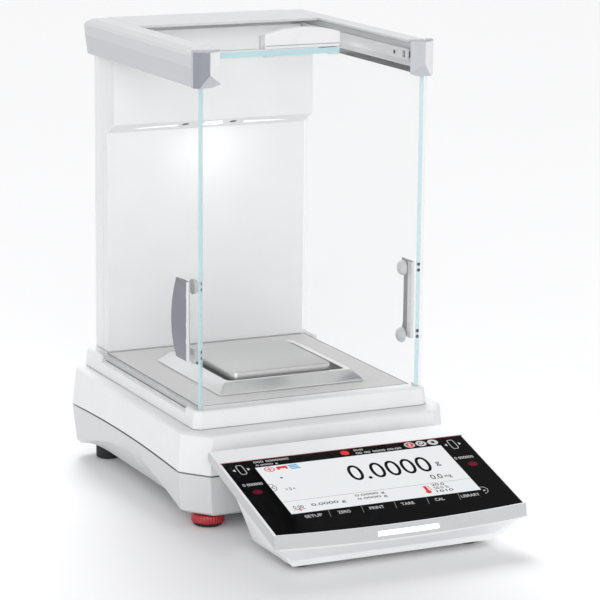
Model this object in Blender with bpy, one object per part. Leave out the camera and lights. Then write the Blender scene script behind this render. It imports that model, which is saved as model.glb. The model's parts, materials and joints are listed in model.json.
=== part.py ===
"""Analytical balance: base with a weighing cell, glass draft shield and a touch terminal on a bracket.

Blender metres, +Z up, -Y towards the user. The origin lies on the bench under the middle of the whole
object. The dimensions below are millimetres.
"""

import math

import bmesh
import bpy

MM = 0.001
GAP = 0.3
SIDES = (("left", -1), ("right", 1))

# Overall size
BACK_Y = 197.5
TERMINAL_FRONT_Y = -197.5
PANE_Y = BACK_Y - 235.0

# Base
BASE_HALF_WIDTH = 115.0
BASE_FRONT_Y = PANE_Y - 24.4
BASE_BOTTOM_Z = 11.0
BASE_TOP_Z = 74.6
PARTING_Z = 43.4
PARTING_BOW = 3.3
WALL = 3.0
ARCH_TOP_Z = 32.2
ARCH_PEAK_Y = PANE_Y + 92.0
ARCH_FRONT_REACH = 102.0
ARCH_BACK_REACH = 128.0
ARCH_INNER_X = 98.0
PLINTH_TOP_Z = 89.0
LEDGE_Z = 84.0
FLOOR_HALF_WIDTH = 90.4
FLOOR_FRONT_Y = PANE_Y + 14.5
FLOOR_BACK_Y = PANE_Y + 205.6
CHASSIS_Z = BASE_BOTTOM_Z + WALL + GAP
CHASSIS_TOP_Z = CHASSIS_Z + 3.0

# Weighing place
PAN_Y = PANE_Y + 99.6
PAN_HALF = 43.5
PAN_TOP_Z = 101.3
STEM_RADIUS = 4.0
STEM_HOLE = 9.0
RING_FOOT_HALF = 63.7
RING_TOP_HALF = 56.0
RING_TOP_Z = 97.7
RING_INNER_HALF = 51.5

# Column
COLUMN_HALF_WIDTH = 89.5
COLUMN_TOP_Z = 338.5
UPPER_WALL_Y = PANE_Y + 191.3
LOWER_WALL_Y = PANE_Y + 207.0
LEDGE_TOP_Z = 282.0
LEDGE_BOTTOM_Z = 273.6
HEAD_HALF_WIDTH = 78.1

# Draft shield
PANE_THICK = 4.6
PANE_HALF_WIDTH = 95.5
PANE_TOP_Z = 358.5
DOOR_INNER_X = 91.5
DOOR_OUTER_X = 95.5
DOOR_FRONT_Y = PANE_Y + 5.1
DOOR_BACK_Y = PANE_Y + 210.0
DOOR_BOTTOM_Z = LEDGE_Z + 1.2
DOOR_TOP_Z = 346.6
TOP_GLASS_Z = 359.0
TOP_GLASS_THICK = 4.6
TOP_GLASS_HALF_WIDTH = 84.2
RAIL_TOP_Z = 366.0
RAIL_BOTTOM_Z = 337.8
RAIL_OUTER_X = 100.8
RAIL_INNER_X = 80.0
RAIL_BACK_Y = PANE_Y + 228.0
HANDLE_OUTER_X = 98.7
HANDLE_BOTTOM_Z = 124.0
HANDLE_TOP_Z = 186.4
HANDLE_BOW = 4.2
GRIP_TOP_Z = 380.0
GRIP_END_Z = 375.4
GRIP_HALF_LENGTH = 31.5
GRIP_X = -10.3
GRIP_Y = PANE_Y + 6.0

# Door drive
TOOTH_MODULE = 1.0
PINION_TEETH = 10
PINION_RADIUS = TOOTH_MODULE * PINION_TEETH / 2
RACK_PITCH_X = 88.9
PINION_X = RACK_PITCH_X - PINION_RADIUS
PINION_Y = PANE_Y + 203.0
TOOTH_ADDENDUM = 0.5
TOOTH_DEDENDUM = 0.7

# Feet
FOOT_X = 91.0
FOOT_Y = PANE_Y - 4.0
FOOT_RADIUS = 13.0
FOOT_PAD_Z = 2.0
REAR_FOOT_Y = PANE_Y + 205.0

# Weighing cell
CELL_HALF_WIDTH = 18.0
CELL_TOP_Z = 62.0
POT_Y = PANE_Y + 207.0
SCREW_X = 52.0

# Terminal
TERMINAL_HALF_WIDTH = 104.3
TILT = math.radians(15.6)
GLASS_REAR_Y = PANE_Y - 53.4
GLASS_REAR_Z = 62.1
GLASS_LENGTH = 102.4
GLASS_HALF_WIDTH = 102.0
GLASS_THICK = 1.1
TERMINAL_BACK_Y = PANE_Y - 34.0
TERMINAL_BOTTOM_Z = 5.4
TRAY_BOTTOM_HALF = 84.0
FRONT_BOW = 5.0
SPLIT_FRONT = (TERMINAL_FRONT_Y, 22.9)
SPLIT_BACK = (TERMINAL_BACK_Y, 60.0)

# Material name: colour, roughness, metallic, alpha
MATERIALS = {
    "housing_white": ((0.86, 0.87, 0.88), 0.42, 0.0, 1.0),
    "housing_grey": ((0.74, 0.75, 0.77), 0.45, 0.0, 1.0),
    "cap_grey": ((0.42, 0.43, 0.47), 0.35, 0.5, 1.0),
    "handle_grey": ((0.33, 0.34, 0.39), 0.4, 0.2, 1.0),
    "stainless": ((0.62, 0.62, 0.61), 0.28, 1.0, 1.0),
    "aluminium": ((0.72, 0.73, 0.74), 0.35, 1.0, 1.0),
    "brass": ((0.75, 0.58, 0.28), 0.3, 1.0, 1.0),
    "copper": ((0.72, 0.38, 0.22), 0.35, 1.0, 1.0),
    "dark_steel": ((0.2, 0.2, 0.22), 0.4, 1.0, 1.0),
    "glass": ((0.8, 0.93, 0.94), 0.03, 0.0, 0.25),
    "lens_clear": ((0.95, 0.97, 1.0), 0.15, 0.0, 0.8),
    "grip_white": ((0.93, 0.94, 0.95), 0.25, 0.0, 1.0),
    "screen_black": ((0.01, 0.01, 0.012), 0.08, 0.0, 1.0),
    "board_green": ((0.03, 0.22, 0.09), 0.5, 0.0, 1.0),
    "foot_red": ((0.62, 0.02, 0.03), 0.35, 0.0, 1.0),
    "rubber_black": ((0.03, 0.03, 0.03), 0.8, 0.0, 1.0),
    "plastic_black": ((0.04, 0.04, 0.045), 0.45, 0.0, 1.0),
}


# ---------------------------------------------------------------- modelling helpers


def clear_scene():
    for obj in list(bpy.data.objects):
        bpy.data.objects.remove(obj, do_unlink=True)


def material(name):
    found = bpy.data.materials.get(name)
    if found:
        return found
    colour, roughness, metallic, alpha = MATERIALS[name]
    made = bpy.data.materials.new(name)
    made.use_nodes = True
    shader = made.node_tree.nodes["Principled BSDF"]
    shader.inputs["Base Color"].default_value = (*colour, 1.0)
    shader.inputs["Roughness"].default_value = roughness
    shader.inputs["Metallic"].default_value = metallic
    shader.inputs["Alpha"].default_value = alpha
    return made


def solid(name, points, faces, finish, origin=(0.0, 0.0, 0.0)):
    """An object from points in millimetres; its own origin is put at origin."""
    mesh = bpy.data.meshes.new(name)
    local = [tuple((p[i] - origin[i]) * MM for i in range(3)) for p in points]
    mesh.from_pydata(local, [], faces)
    work = bmesh.new()
    work.from_mesh(mesh)
    bmesh.ops.recalc_face_normals(work, faces=work.faces)
    work.to_mesh(mesh)
    work.free()
    mesh.shade_smooth()
    mesh.set_sharp_from_angle(angle=math.radians(32))
    obj = bpy.data.objects.new(name, mesh)
    obj.location = [c * MM for c in origin]
    mesh.materials.append(material(finish))
    bpy.context.scene.collection.objects.link(obj)
    return obj


def end_faces(first, count, ladder):
    """Cap over one ring: one face, or strips across a ring that is symmetric about x = 0."""
    if not ladder:
        return [tuple(first + i for i in range(count))]
    last = first + count - 1
    return [(first + i, first + i + 1, last - i - 1, last - i) for i in range(count // 2 - 1)]


def loft(name, rings, finish, closed=False, origin=(0.0, 0.0, 0.0), ladder=False):
    """Skin through rings of equal length: capped at both ends, or joined end to end when closed."""
    count = len(rings[0])
    points = [p for ring in rings for p in ring]
    faces = []
    pairs = len(rings) if closed else len(rings) - 1
    for level in range(pairs):
        low = level * count
        high = (level + 1) % len(rings) * count
        for i in range(count):
            j = (i + 1) % count
            faces.append((low + i, low + j, high + j, high + i))
    if not closed:
        faces += end_faces(0, count, ladder)
        faces += end_faces((len(rings) - 1) * count, count, ladder)
    return solid(name, points, faces, finish, origin)


def lifted(outline, axis, level):
    """Points of a flat outline set at level along axis: (y, z) for X, (x, z) for Y, (x, y) for Z."""
    if axis == "X":
        return [(level, a, b) for a, b in outline]
    if axis == "Y":
        return [(a, level, b) for a, b in outline]
    return [(a, b, level) for a, b in outline]


def prism(name, outline, axis, low, high, finish, origin=(0.0, 0.0, 0.0)):
    rings = [lifted(outline, axis, low), lifted(outline, axis, high)]
    return loft(name, rings, finish, origin=origin)


def block(name, low, high, finish, origin=(0.0, 0.0, 0.0)):
    corners = [(low[0], low[1]), (high[0], low[1]), (high[0], high[1]), (low[0], high[1])]
    return prism(name, corners, "Z", low[2], high[2], finish, origin)


def side_block(name, side, low, high, finish, origin=(0.0, 0.0, 0.0)):
    """A block given for the right side, mirrored to the left when side is -1."""
    near, far = sorted((side * low[0], side * high[0]))
    return block(name, (near, low[1], low[2]), (far, high[1], high[2]), finish, origin)


def rounded_square(half_x, half_y, centre_y, radius, steps=3):
    outline = []
    for quarter, (sx, sy) in enumerate(((1, 1), (-1, 1), (-1, -1), (1, -1))):
        for step in range(steps + 1):
            angle = math.pi / 2 * (quarter + step / steps)
            x = sx * (half_x - radius) + radius * math.cos(angle)
            y = centre_y + sy * (half_y - radius) + radius * math.sin(angle)
            outline.append((x, y))
    return outline


def circle(radius, centre, count):
    turn = 2 * math.pi / count
    return [
        (centre[0] + radius * math.cos(i * turn), centre[1] + radius * math.sin(i * turn))
        for i in range(count)
    ]


def turned(name, profile, centre, finish, count=24, closed=False, origin=(0.0, 0.0, 0.0)):
    """A shape turned about a vertical axis through centre; profile holds (radius, height) pairs."""
    rings = [lifted(circle(radius, centre, count), "Z", z) for radius, z in profile]
    return loft(name, rings, finish, closed, origin)


def combine(target, tools, operation):
    for tool in tools:
        change = target.modifiers.new(operation, "BOOLEAN")
        change.operation = operation
        change.solver = "EXACT"
        change.object = tool
    graph = bpy.context.evaluated_depsgraph_get()
    mesh = bpy.data.meshes.new_from_object(target.evaluated_get(graph))
    target.modifiers.clear()
    target.data = mesh
    for tool in tools:
        bpy.data.objects.remove(tool, do_unlink=True)
    return target


def cut(target, *tools):
    return combine(target, tools, "DIFFERENCE")


def join(target, *tools):
    return combine(target, tools, "UNION")


# ---------------------------------------------------------------- base


def base_ring(inset, level, bow=0.0):
    """Plan outline of the base, pulled in by inset. Its long sides rise by bow at their middle."""
    half = BASE_HALF_WIDTH - inset
    front = BASE_FRONT_Y + inset
    back = BACK_Y - inset
    start = front + 21.9
    end = back - 14.0
    flank = [start + (end - start) * i / 8 for i in range(9)]
    bow_middle = (BASE_FRONT_Y + BACK_Y) / 2 + 4.0
    bow_reach = (BACK_Y - BASE_FRONT_Y) / 2 - 18.0

    def height(y):
        along = (y - bow_middle) / bow_reach
        return level + bow * max(0.0, 1 - along * along)

    right = [(half - 17.3, front, level)]
    right += [(half, y, height(y)) for y in flank]
    right += [(half - 4.0, back - 4.5, level), (half - 14.0, back, level)]
    left = [(-x, y, z) for x, y, z in reversed(right)]
    return right + left


def arch_height(y):
    """Height of the arch edge above the base's bottom, as a fraction of its full rise."""
    reach = ARCH_FRONT_REACH if y < ARCH_PEAK_Y else ARCH_BACK_REACH
    power = 1.6 if y < ARCH_PEAK_Y else 2.1
    return max(0.0, 1 - (abs(y - ARCH_PEAK_Y) / reach) ** power)


def arch_tool(side, grow):
    """Solid under one arch: its roof rises outwards from the flat bottom to beyond the side."""
    start = ARCH_PEAK_Y - ARCH_FRONT_REACH
    end = ARCH_PEAK_Y + ARCH_BACK_REACH
    stations = [start + (end - start) * i / 20 for i in range(21)]
    outer_x = 126.0
    flank_x = 112.0
    slope = (outer_x - ARCH_INNER_X) / (flank_x - ARCH_INNER_X)
    rise = ARCH_TOP_Z - BASE_BOTTOM_Z
    floor = BASE_BOTTOM_Z - 4.0
    inner = [(y, BASE_BOTTOM_Z - 1.0 + grow) for y in stations]
    outer = [(y, BASE_BOTTOM_Z - 1.0 + grow + rise * slope * arch_height(y)) for y in stations]
    ends = [(end, floor), (start, floor)]
    rings = [
        lifted(inner + ends, "X", side * ARCH_INNER_X),
        lifted(outer + ends, "X", side * outer_x),
    ]
    return loft("arch_tool", rings, "housing_grey")


def make_upper_housing():
    rings = [
        base_ring(5.5, BASE_TOP_Z - WALL),
        base_ring(WALL, PARTING_Z, PARTING_BOW),
        base_ring(0.0, PARTING_Z, PARTING_BOW),
        base_ring(2.5, BASE_TOP_Z - 1.6),
        base_ring(4.2, BASE_TOP_Z),
    ]
    housing = loft("upper_housing", rings, "housing_white")
    hole = circle(STEM_HOLE, (0.0, PAN_Y), 20)
    cut(housing, prism("hole", hole, "Z", BASE_TOP_Z - 6, BASE_TOP_Z + 4, "housing_white"))


def socket_boxes():
    """Name, low corner and high corner of each socket in the back wall."""
    back = BACK_Y - 3.2
    return (
        ("power_inlet", (-78.0, back - 14, 22.0), (-64.0, BACK_Y - 3.1, 34.0)),
        ("serial_port", (-46.0, back - 12, 21.0), (-15.0, BACK_Y - 3.1, 34.0)),
    )


def make_lower_housing():
    top = PARTING_Z - GAP
    outer = [
        base_ring(0.0, top, PARTING_BOW),
        base_ring(2.7, BASE_BOTTOM_Z + 1.8),
        base_ring(4.4, BASE_BOTTOM_Z),
    ]
    housing = loft("lower_housing", outer, "housing_grey", ladder=True)
    hollow = loft(
        "hollow",
        [base_ring(6.0, BASE_BOTTOM_Z + WALL), base_ring(WALL, top + 14.0)],
        "housing_grey",
    )
    cut(hollow, arch_tool(-1, 3.2), arch_tool(1, 3.2))
    cut(housing, arch_tool(-1, 0.0), arch_tool(1, 0.0), hollow)
    low = BASE_BOTTOM_Z - 2
    high = CHASSIS_Z + 1
    tools = [prism("hole", circle(10.0, (0.0, PAN_Y), 20), "Z", low, high, "housing_grey")]
    for _, side in SIDES:
        hole = circle(4.4, (side * FOOT_X, FOOT_Y), 16)
        tools.append(prism("hole", hole, "Z", low, high, "housing_grey"))
    for _, near, far in socket_boxes():
        window_low = (near[0] - GAP, near[1] - 2, near[2] - GAP)
        window_high = (far[0] + GAP, BACK_Y + 2, far[2] + GAP)
        tools.append(block("window", window_low, window_high, "housing_grey"))
    cut(housing, *tools)


def make_sockets():
    for name, near, far in socket_boxes():
        socket = block(name, near, far, "plastic_black")
        mouth_low = (near[0] + 1.6, far[1] - 8.0, near[2] + 1.6)
        mouth_high = (far[0] - 1.6, far[1] + 1.0, far[2] - 1.6)
        cut(socket, block("mouth", mouth_low, mouth_high, "plastic_black"))


def make_chassis():
    low = (-86.0, PANE_Y - 10.0, CHASSIS_Z)
    high = (86.0, PANE_Y + 221.0, CHASSIS_TOP_Z)
    plate = block("chassis_plate", low, high, "aluminium")
    posts = []
    for x in (-82.0, -48.0):
        for y in (24.0, 176.0):
            outline = circle(3.0, (x, PANE_Y + y), 12)
            posts.append(prism("post", outline, "Z", CHASSIS_TOP_Z - 1, 39.7, "aluminium"))
    join(plate, *posts)
    hole = circle(10.0, (0.0, PAN_Y), 20)
    cut(plate, prism("hole", hole, "Z", CHASSIS_Z - 2, CHASSIS_TOP_Z + 2, "aluminium"))
    board_low = (-86.0, PANE_Y + 18.0, 40.0)
    board_high = (-44.0, PANE_Y + 182.0, 41.6)
    block("main_board", board_low, board_high, "board_green")


def make_plinth():
    def ring(half, front, level):
        right = [(half - 5, front), (half, front + 5), (half, BACK_Y - 6), (half - 6, BACK_Y - 0.5)]
        outline = right + [(-x, y) for x, y in reversed(right)]
        return lifted(outline, "Z", level)

    rings = [
        ring(101.5, PANE_Y - 2.4, BASE_TOP_Z + GAP),
        ring(99.8, PANE_Y - 1.4, PLINTH_TOP_Z - 1.0),
        ring(98.8, PANE_Y - 0.4, PLINTH_TOP_Z),
    ]
    plinth = loft("plinth", rings, "housing_white")
    recess_low = (-FLOOR_HALF_WIDTH - GAP, FLOOR_FRONT_Y - GAP, PLINTH_TOP_Z - 2.5)
    recess_high = (FLOOR_HALF_WIDTH + GAP, FLOOR_BACK_Y + GAP, PLINTH_TOP_Z + 3)
    tools = [block("recess", recess_low, recess_high, "housing_white")]
    for _, side in SIDES:
        track_low = (FLOOR_HALF_WIDTH, DOOR_FRONT_Y - GAP, LEDGE_Z)
        track_high = (DOOR_OUTER_X + 0.8, BACK_Y + 3, PLINTH_TOP_Z + 3)
        tools.append(side_block("track", side, track_low, track_high, "housing_white"))
        shelf_low = (DOOR_OUTER_X, FLOOR_FRONT_Y + 5, LEDGE_Z)
        shelf_high = (108.0, FLOOR_BACK_Y - 6, PLINTH_TOP_Z + 4)
        tools.append(side_block("shelf", side, shelf_low, shelf_high, "housing_white"))
    hole = circle(STEM_HOLE, (0.0, PAN_Y), 20)
    tools.append(prism("hole", hole, "Z", BASE_TOP_Z - 2, PLINTH_TOP_Z + 3, "housing_white"))
    hollow_low = (-88.0, PANE_Y + 6, BASE_TOP_Z - 2)
    hollow_high = (88.0, BACK_Y - 8, PLINTH_TOP_Z - 6)
    tools.append(block("hollow", hollow_low, hollow_high, "housing_white"))
    cut(plinth, *tools)


def make_feet():
    for word, side in SIDES:
        centre = (side * FOOT_X, FOOT_Y)
        axis = (*centre, 0.0)
        pad = [(FOOT_RADIUS - 2.4, 0.0), (FOOT_RADIUS - 1.6, FOOT_PAD_Z)]
        turned(f"{word}_foot_pad", pad, centre, "rubber_black", origin=axis)
        wheel = [
            (FOOT_RADIUS - 1.0, FOOT_PAD_Z + GAP),
            (FOOT_RADIUS, FOOT_PAD_Z + 1.4),
            (FOOT_RADIUS, 8.2),
            (FOOT_RADIUS - 1.2, 9.6),
            (4.0, 9.6),
            (4.0, 28.0),
        ]
        turned(f"{word}_foot_wheel", wheel, centre, "foot_red", origin=axis)
        rear = (side * FOOT_X, REAR_FOOT_Y)
        rear_profile = [(9.0, 0.0), (10.0, 1.5), (10.0, BASE_BOTTOM_Z - GAP)]
        turned(f"{word}_rear_foot", rear_profile, rear, "rubber_black", count=20)


def make_weigh_below_cover():
    pivot = (16.0, PAN_Y)
    cover = turned(
        "weigh_below_cover",
        [(13.5, 8.4), (13.5, BASE_BOTTOM_Z - GAP)],
        (0.0, PAN_Y),
        "plastic_black",
        origin=(*pivot, 9.0),
    )
    ear = [(6.0, PAN_Y - 6), (20.0, PAN_Y - 4), (21.0, PAN_Y), (20.0, PAN_Y + 4), (6.0, PAN_Y + 6)]
    join(cover, prism("ear", ear, "Z", 8.4, BASE_BOTTOM_Z - GAP, "plastic_black"))


# ---------------------------------------------------------------- weighing cell


def make_weighing_cell():
    frame_low = (-CELL_HALF_WIDTH, PANE_Y + 128.0, CHASSIS_TOP_Z + GAP)
    frame_high = (CELL_HALF_WIDTH, PANE_Y + 186.0, CELL_TOP_Z)
    frame = block("load_cell_frame", frame_low, frame_high, "aluminium")
    arm_top = block(
        "arm",
        (-14.0, PANE_Y + 112.0, CELL_TOP_Z - 4.0),
        (14.0, PANE_Y + 130.0, CELL_TOP_Z - 1.0),
        "aluminium",
    )
    arm_bottom = block(
        "arm",
        (-14.0, PANE_Y + 112.0, CHASSIS_TOP_Z + 4.0),
        (14.0, PANE_Y + 130.0, CHASSIS_TOP_Z + 7.0),
        "aluminium",
    )
    join(frame, arm_top, arm_bottom)
    slot_low = (-8.0, PANE_Y + 120.0, 47.0)
    slot_high = (8.0, PANE_Y + 195.0, 57.0)
    cut(frame, block("slot", slot_low, slot_high, "aluminium"))
    receiver_low = (-15.0, PANE_Y + 90.0, CHASSIS_TOP_Z + 2.0)
    receiver_high = (15.0, PANE_Y + 111.7, CELL_TOP_Z)
    block("load_receiver", receiver_low, receiver_high, "aluminium")
    block("balance_lever", (-6.0, PANE_Y + 112.4, 49.0), (6.0, POT_Y + 13.0, 55.0), "aluminium")
    centre = (0.0, POT_Y)
    pot = [
        (17.0, CHASSIS_TOP_Z + GAP),
        (17.0, 45.0),
        (12.6, 45.0),
        (12.6, 26.0),
        (7.4, 26.0),
        (7.4, 45.0),
    ]
    turned("magnet_pot", pot, centre, "dark_steel")
    coil = [(8.4, 30.0), (11.6, 30.0), (11.6, 48.7), (8.4, 48.7)]
    turned("force_coil", coil, centre, "copper", closed=True)


def make_calibration():
    screw_y = PAN_Y
    deck_z = 26.0
    carrier = block(
        "weight_carrier",
        (20.0, screw_y - 9.0, deck_z),
        (SCREW_X + 6.0, screw_y + 9.0, deck_z + 3.0),
        "aluminium",
        origin=(SCREW_X, screw_y, deck_z),
    )
    bridge = block("bridge", (20.0, PAN_Y - 22, deck_z), (26.0, PAN_Y + 4, deck_z + 3.0), "aluminium")
    front_bar = block(
        "bar", (-38.0, PAN_Y - 22, deck_z), (26.0, PAN_Y - 15, deck_z + 3.0), "aluminium"
    )
    left_arm = block("arm", (-38.0, PAN_Y - 22, deck_z), (-20.0, PAN_Y + 9, deck_z + 3.0), "aluminium")
    join(carrier, bridge, front_bar, left_arm)
    hole = circle(2.6, (SCREW_X, screw_y), 16)
    cut(carrier, prism("hole", hole, "Z", deck_z - 2, deck_z + 6, "aluminium"))
    for word, side in SIDES:
        centre_x = side * 29.0
        outline = circle(8.5, (centre_x, deck_z + 3.0 + GAP + 8.5), 20)
        prism(f"{word}_calibration_weight", outline, "Y", PAN_Y - 9.0, PAN_Y + 9.0, "stainless")
    screw = [(2.2, CHASSIS_TOP_Z + 6.6), (2.2, 50.0)]
    axis = (SCREW_X, screw_y)
    turned("lead_screw", screw, axis, "brass", count=16, origin=(*axis, deck_z))
    motor_low = (SCREW_X - 8.0, screw_y - 8.0, CHASSIS_TOP_Z + GAP)
    motor_high = (SCREW_X + 8.0, screw_y + 8.0, CHASSIS_TOP_Z + 6.3)
    block("calibration_motor", motor_low, motor_high, "dark_steel")


# ---------------------------------------------------------------- weighing place


def square_ring(half, level, radius=5.0):
    return lifted(rounded_square(half, half, PAN_Y, radius), "Z", level)


def make_weighing_place():
    floor_low = (-FLOOR_HALF_WIDTH, FLOOR_FRONT_Y, PLINTH_TOP_Z - 2.2)
    floor_high = (FLOOR_HALF_WIDTH, FLOOR_BACK_Y, PLINTH_TOP_Z)
    lift_origin = (0.0, PAN_Y, PLINTH_TOP_Z)
    plate = block("floor_plate", floor_low, floor_high, "stainless", lift_origin)
    hole = circle(12.0, (0.0, PAN_Y), 24)
    cut(plate, prism("hole", hole, "Z", PLINTH_TOP_Z - 5, PLINTH_TOP_Z + 5, "stainless"))
    foot_z = PLINTH_TOP_Z + GAP
    section = [
        (RING_FOOT_HALF, foot_z),
        (RING_TOP_HALF, RING_TOP_Z),
        (RING_INNER_HALF, RING_TOP_Z),
        (RING_INNER_HALF, RING_TOP_Z - 1.2),
        (RING_TOP_HALF - 0.8, RING_TOP_Z - 1.2),
        (RING_FOOT_HALF - 1.6, foot_z),
    ]
    rings = [square_ring(half, z) for half, z in section]
    loft("draft_ring", rings, "stainless", closed=True, origin=lift_origin)
    pan = [
        (PAN_HALF - 1.2, PAN_TOP_Z - 1.4),
        (PAN_HALF - 1.2, PAN_TOP_Z - 5.7),
        (PAN_HALF, PAN_TOP_Z - 5.7),
        (PAN_HALF, PAN_TOP_Z - 0.5),
        (PAN_HALF - 0.5, PAN_TOP_Z),
    ]
    pan_origin = (0.0, PAN_Y, PAN_TOP_Z)
    pan_rings = [square_ring(half, z) for half, z in pan]
    loft("weighing_pan", pan_rings, "stainless", origin=pan_origin)
    support = [
        (STEM_RADIUS - 1.5, CELL_TOP_Z + GAP),
        (STEM_RADIUS, CELL_TOP_Z + 3.0),
        (STEM_RADIUS, 93.0),
        (20.0, 98.0),
        (20.0, PAN_TOP_Z - 1.4 - GAP),
    ]
    turned("pan_support", support, (0.0, PAN_Y), "aluminium", origin=pan_origin)


# ---------------------------------------------------------------- column


def on_ledge(x, along, depth):
    """A point on the slanted ledge: along runs back and down from its middle, depth goes inwards."""
    run = LOWER_WALL_Y - UPPER_WALL_Y
    drop = LEDGE_BOTTOM_Z - LEDGE_TOP_Z
    length = math.hypot(run, drop)
    mid_y = (LOWER_WALL_Y + UPPER_WALL_Y) / 2
    mid_z = (LEDGE_BOTTOM_Z + LEDGE_TOP_Z) / 2
    y = mid_y + (run * along - drop * depth) / length
    z = mid_z + (drop * along + run * depth) / length
    return (x, y, z)


def ledge_prism(name, outline, near, far, finish):
    rings = [[on_ledge(x, along, depth) for x, along in outline] for depth in (near, far)]
    return loft(name, rings, finish)


def crescent(grow):
    """Outline of the light lens: straight along its lower edge, bowed along its upper edge."""
    half = 74.0 + grow
    low = 5.0 + grow
    rise = 10.5 + 2 * grow
    bow = []
    for i in range(13):
        x = half * (1 - i / 6)
        bow.append((x, low - 1.0 - grow - (rise - 1.0 - grow) * (1 - (x / half) ** 2)))
    return [(-half, low), (half, low)] + bow


def make_column():
    def ring(front, level):
        half = COLUMN_HALF_WIDTH
        inner = half - WALL
        end = BACK_Y - 3.0 - GAP
        outline = [(-half, end), (-half, front), (half, front), (half, end)]
        outline += [(inner, end), (inner, front + WALL), (-inner, front + WALL), (-inner, end)]
        return lifted(outline, "Z", level)

    rings = [
        ring(LOWER_WALL_Y, PLINTH_TOP_Z + GAP),
        ring(LOWER_WALL_Y, LEDGE_BOTTOM_Z),
        ring(UPPER_WALL_Y, LEDGE_TOP_Z),
        ring(UPPER_WALL_Y, COLUMN_TOP_Z),
    ]
    shell = loft("column_shell", rings, "housing_white")
    cut(shell, ledge_prism("window", crescent(GAP), -3.0, 6.0, "housing_white"))
    lens = ledge_prism("light_lens", crescent(0.0), 0.2, 2.2, "lens_clear")
    ports = (("left", -23.0), ("right", 20.0))
    tools = []
    for word, x in ports:
        tools.append(ledge_prism("hole", circle(3.2, (x, 0.0), 16), -3.0, 6.0, "lens_clear"))
        ledge_prism(f"{word}_ionizer", circle(2.9, (x, 0.0), 16), 0.6, 9.0, "plastic_black")
    cut(lens, *tools)
    back_low = (-COLUMN_HALF_WIDTH, BACK_Y - 3.0, PLINTH_TOP_Z + GAP)
    back_high = (COLUMN_HALF_WIDTH, BACK_Y, COLUMN_TOP_Z)
    cover = block("column_back_cover", back_low, back_high, "housing_white")
    slots = []
    for i in range(6):
        z = 120.0 + 7.0 * i
        slots.append(block("slot", (-42.0, BACK_Y - 6, z), (42.0, BACK_Y + 3, z + 2.6), "housing_white"))
    cut(cover, *slots)
    head_low = (-HEAD_HALF_WIDTH, UPPER_WALL_Y, COLUMN_TOP_Z + GAP)
    head_high = (HEAD_HALF_WIDTH, BACK_Y, TOP_GLASS_Z - 0.9)
    head = block("column_head", head_low, head_high, "housing_white")
    inner_low = (-HEAD_HALF_WIDTH + 2.5, UPPER_WALL_Y + 2.5, COLUMN_TOP_Z - 5)
    inner_high = (HEAD_HALF_WIDTH - 2.5, BACK_Y - 2.5, TOP_GLASS_Z - 3.4)
    cut(head, block("hollow", inner_low, inner_high, "housing_white"))
    # The cap lies between the rails, above the top door, and stops short of the grip's rear end.
    cap_low = (GAP - RAIL_INNER_X, PANE_Y + 163.0, RAIL_TOP_Z - 2.0)
    cap_high = (RAIL_INNER_X - GAP, RAIL_BACK_Y, RAIL_TOP_Z)
    block("column_cap", cap_low, cap_high, "housing_white")


# ---------------------------------------------------------------- draft shield


def rail_outline(side):
    outline = [
        (RAIL_OUTER_X, RAIL_BOTTOM_Z),
        (RAIL_OUTER_X, 360.7),
        (96.5, RAIL_TOP_Z),
        (RAIL_INNER_X, RAIL_TOP_Z),
        (RAIL_INNER_X, 364.2),
        (TOP_GLASS_HALF_WIDTH + 0.4, 364.2),
        (TOP_GLASS_HALF_WIDTH + 0.4, TOP_GLASS_Z - GAP),
        (RAIL_INNER_X, TOP_GLASS_Z - GAP),
        (RAIL_INNER_X, 350.0),
        (RAIL_INNER_X + 2.0, 350.0),
        (RAIL_INNER_X + 2.0, 356.7),
        (RAIL_OUTER_X - 2.0, 356.7),
        (RAIL_OUTER_X - 2.0, RAIL_BOTTOM_Z),
    ]
    return [(side * x, z) for x, z in outline]


def end_cap_ring(side, levels, pull):
    """Plan outline of a front end cap. pull draws its prow back towards the pane."""
    plan = [
        (101.3, 4.9),
        (101.3, 1.6),
        (97.5, -2.2 + 0.4 * pull),
        (90.5, -6.2 + pull),
        (80.2, -0.9),
        (80.2, -GAP),
        (95.5 + GAP, -GAP),
        (95.5 + GAP, 4.9),
    ]
    return [(side * x, PANE_Y + y, z) for (x, y), z in zip(plan, levels)]


def make_rails():
    for word, side in SIDES:
        outline = rail_outline(side)
        prism(f"{word}_rail", outline, "Y", DOOR_FRONT_Y, RAIL_BACK_Y, "housing_white")
        low = [338.0, 338.0, 338.2, 339.5, 344.0, 344.0, 338.2, 338.0]
        rings = [
            end_cap_ring(side, low, 4.6),
            end_cap_ring(side, [348.0] * 8, 0.0),
            end_cap_ring(side, [RAIL_TOP_Z - 1.5] * 8, 0.0),
            end_cap_ring(side, [RAIL_TOP_Z + 0.4] * 8, 1.4),
        ]
        loft(f"{word}_end_cap", rings, "cap_grey")


def rack_outline(side, start, end):
    """Plan of a toothed strip along Y, with one tooth centred opposite the pinion."""
    pitch = math.pi * TOOTH_MODULE
    root_x = RACK_PITCH_X + TOOTH_DEDENDUM
    tip_x = RACK_PITCH_X - TOOTH_ADDENDUM
    first = math.ceil((start + 1.0 - PINION_Y) / pitch)
    last = math.floor((end - 1.0 - PINION_Y) / pitch)
    outline = [(root_x + 1.1, end), (root_x + 1.1, start), (root_x, start)]
    for i in range(first, last + 1):
        y = PINION_Y + i * pitch
        outline += [(root_x, y - 0.8), (tip_x, y - 0.45), (tip_x, y + 0.45), (root_x, y + 0.8)]
    outline.append((root_x, end))
    return [(side * x, y) for x, y in outline]


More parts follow.
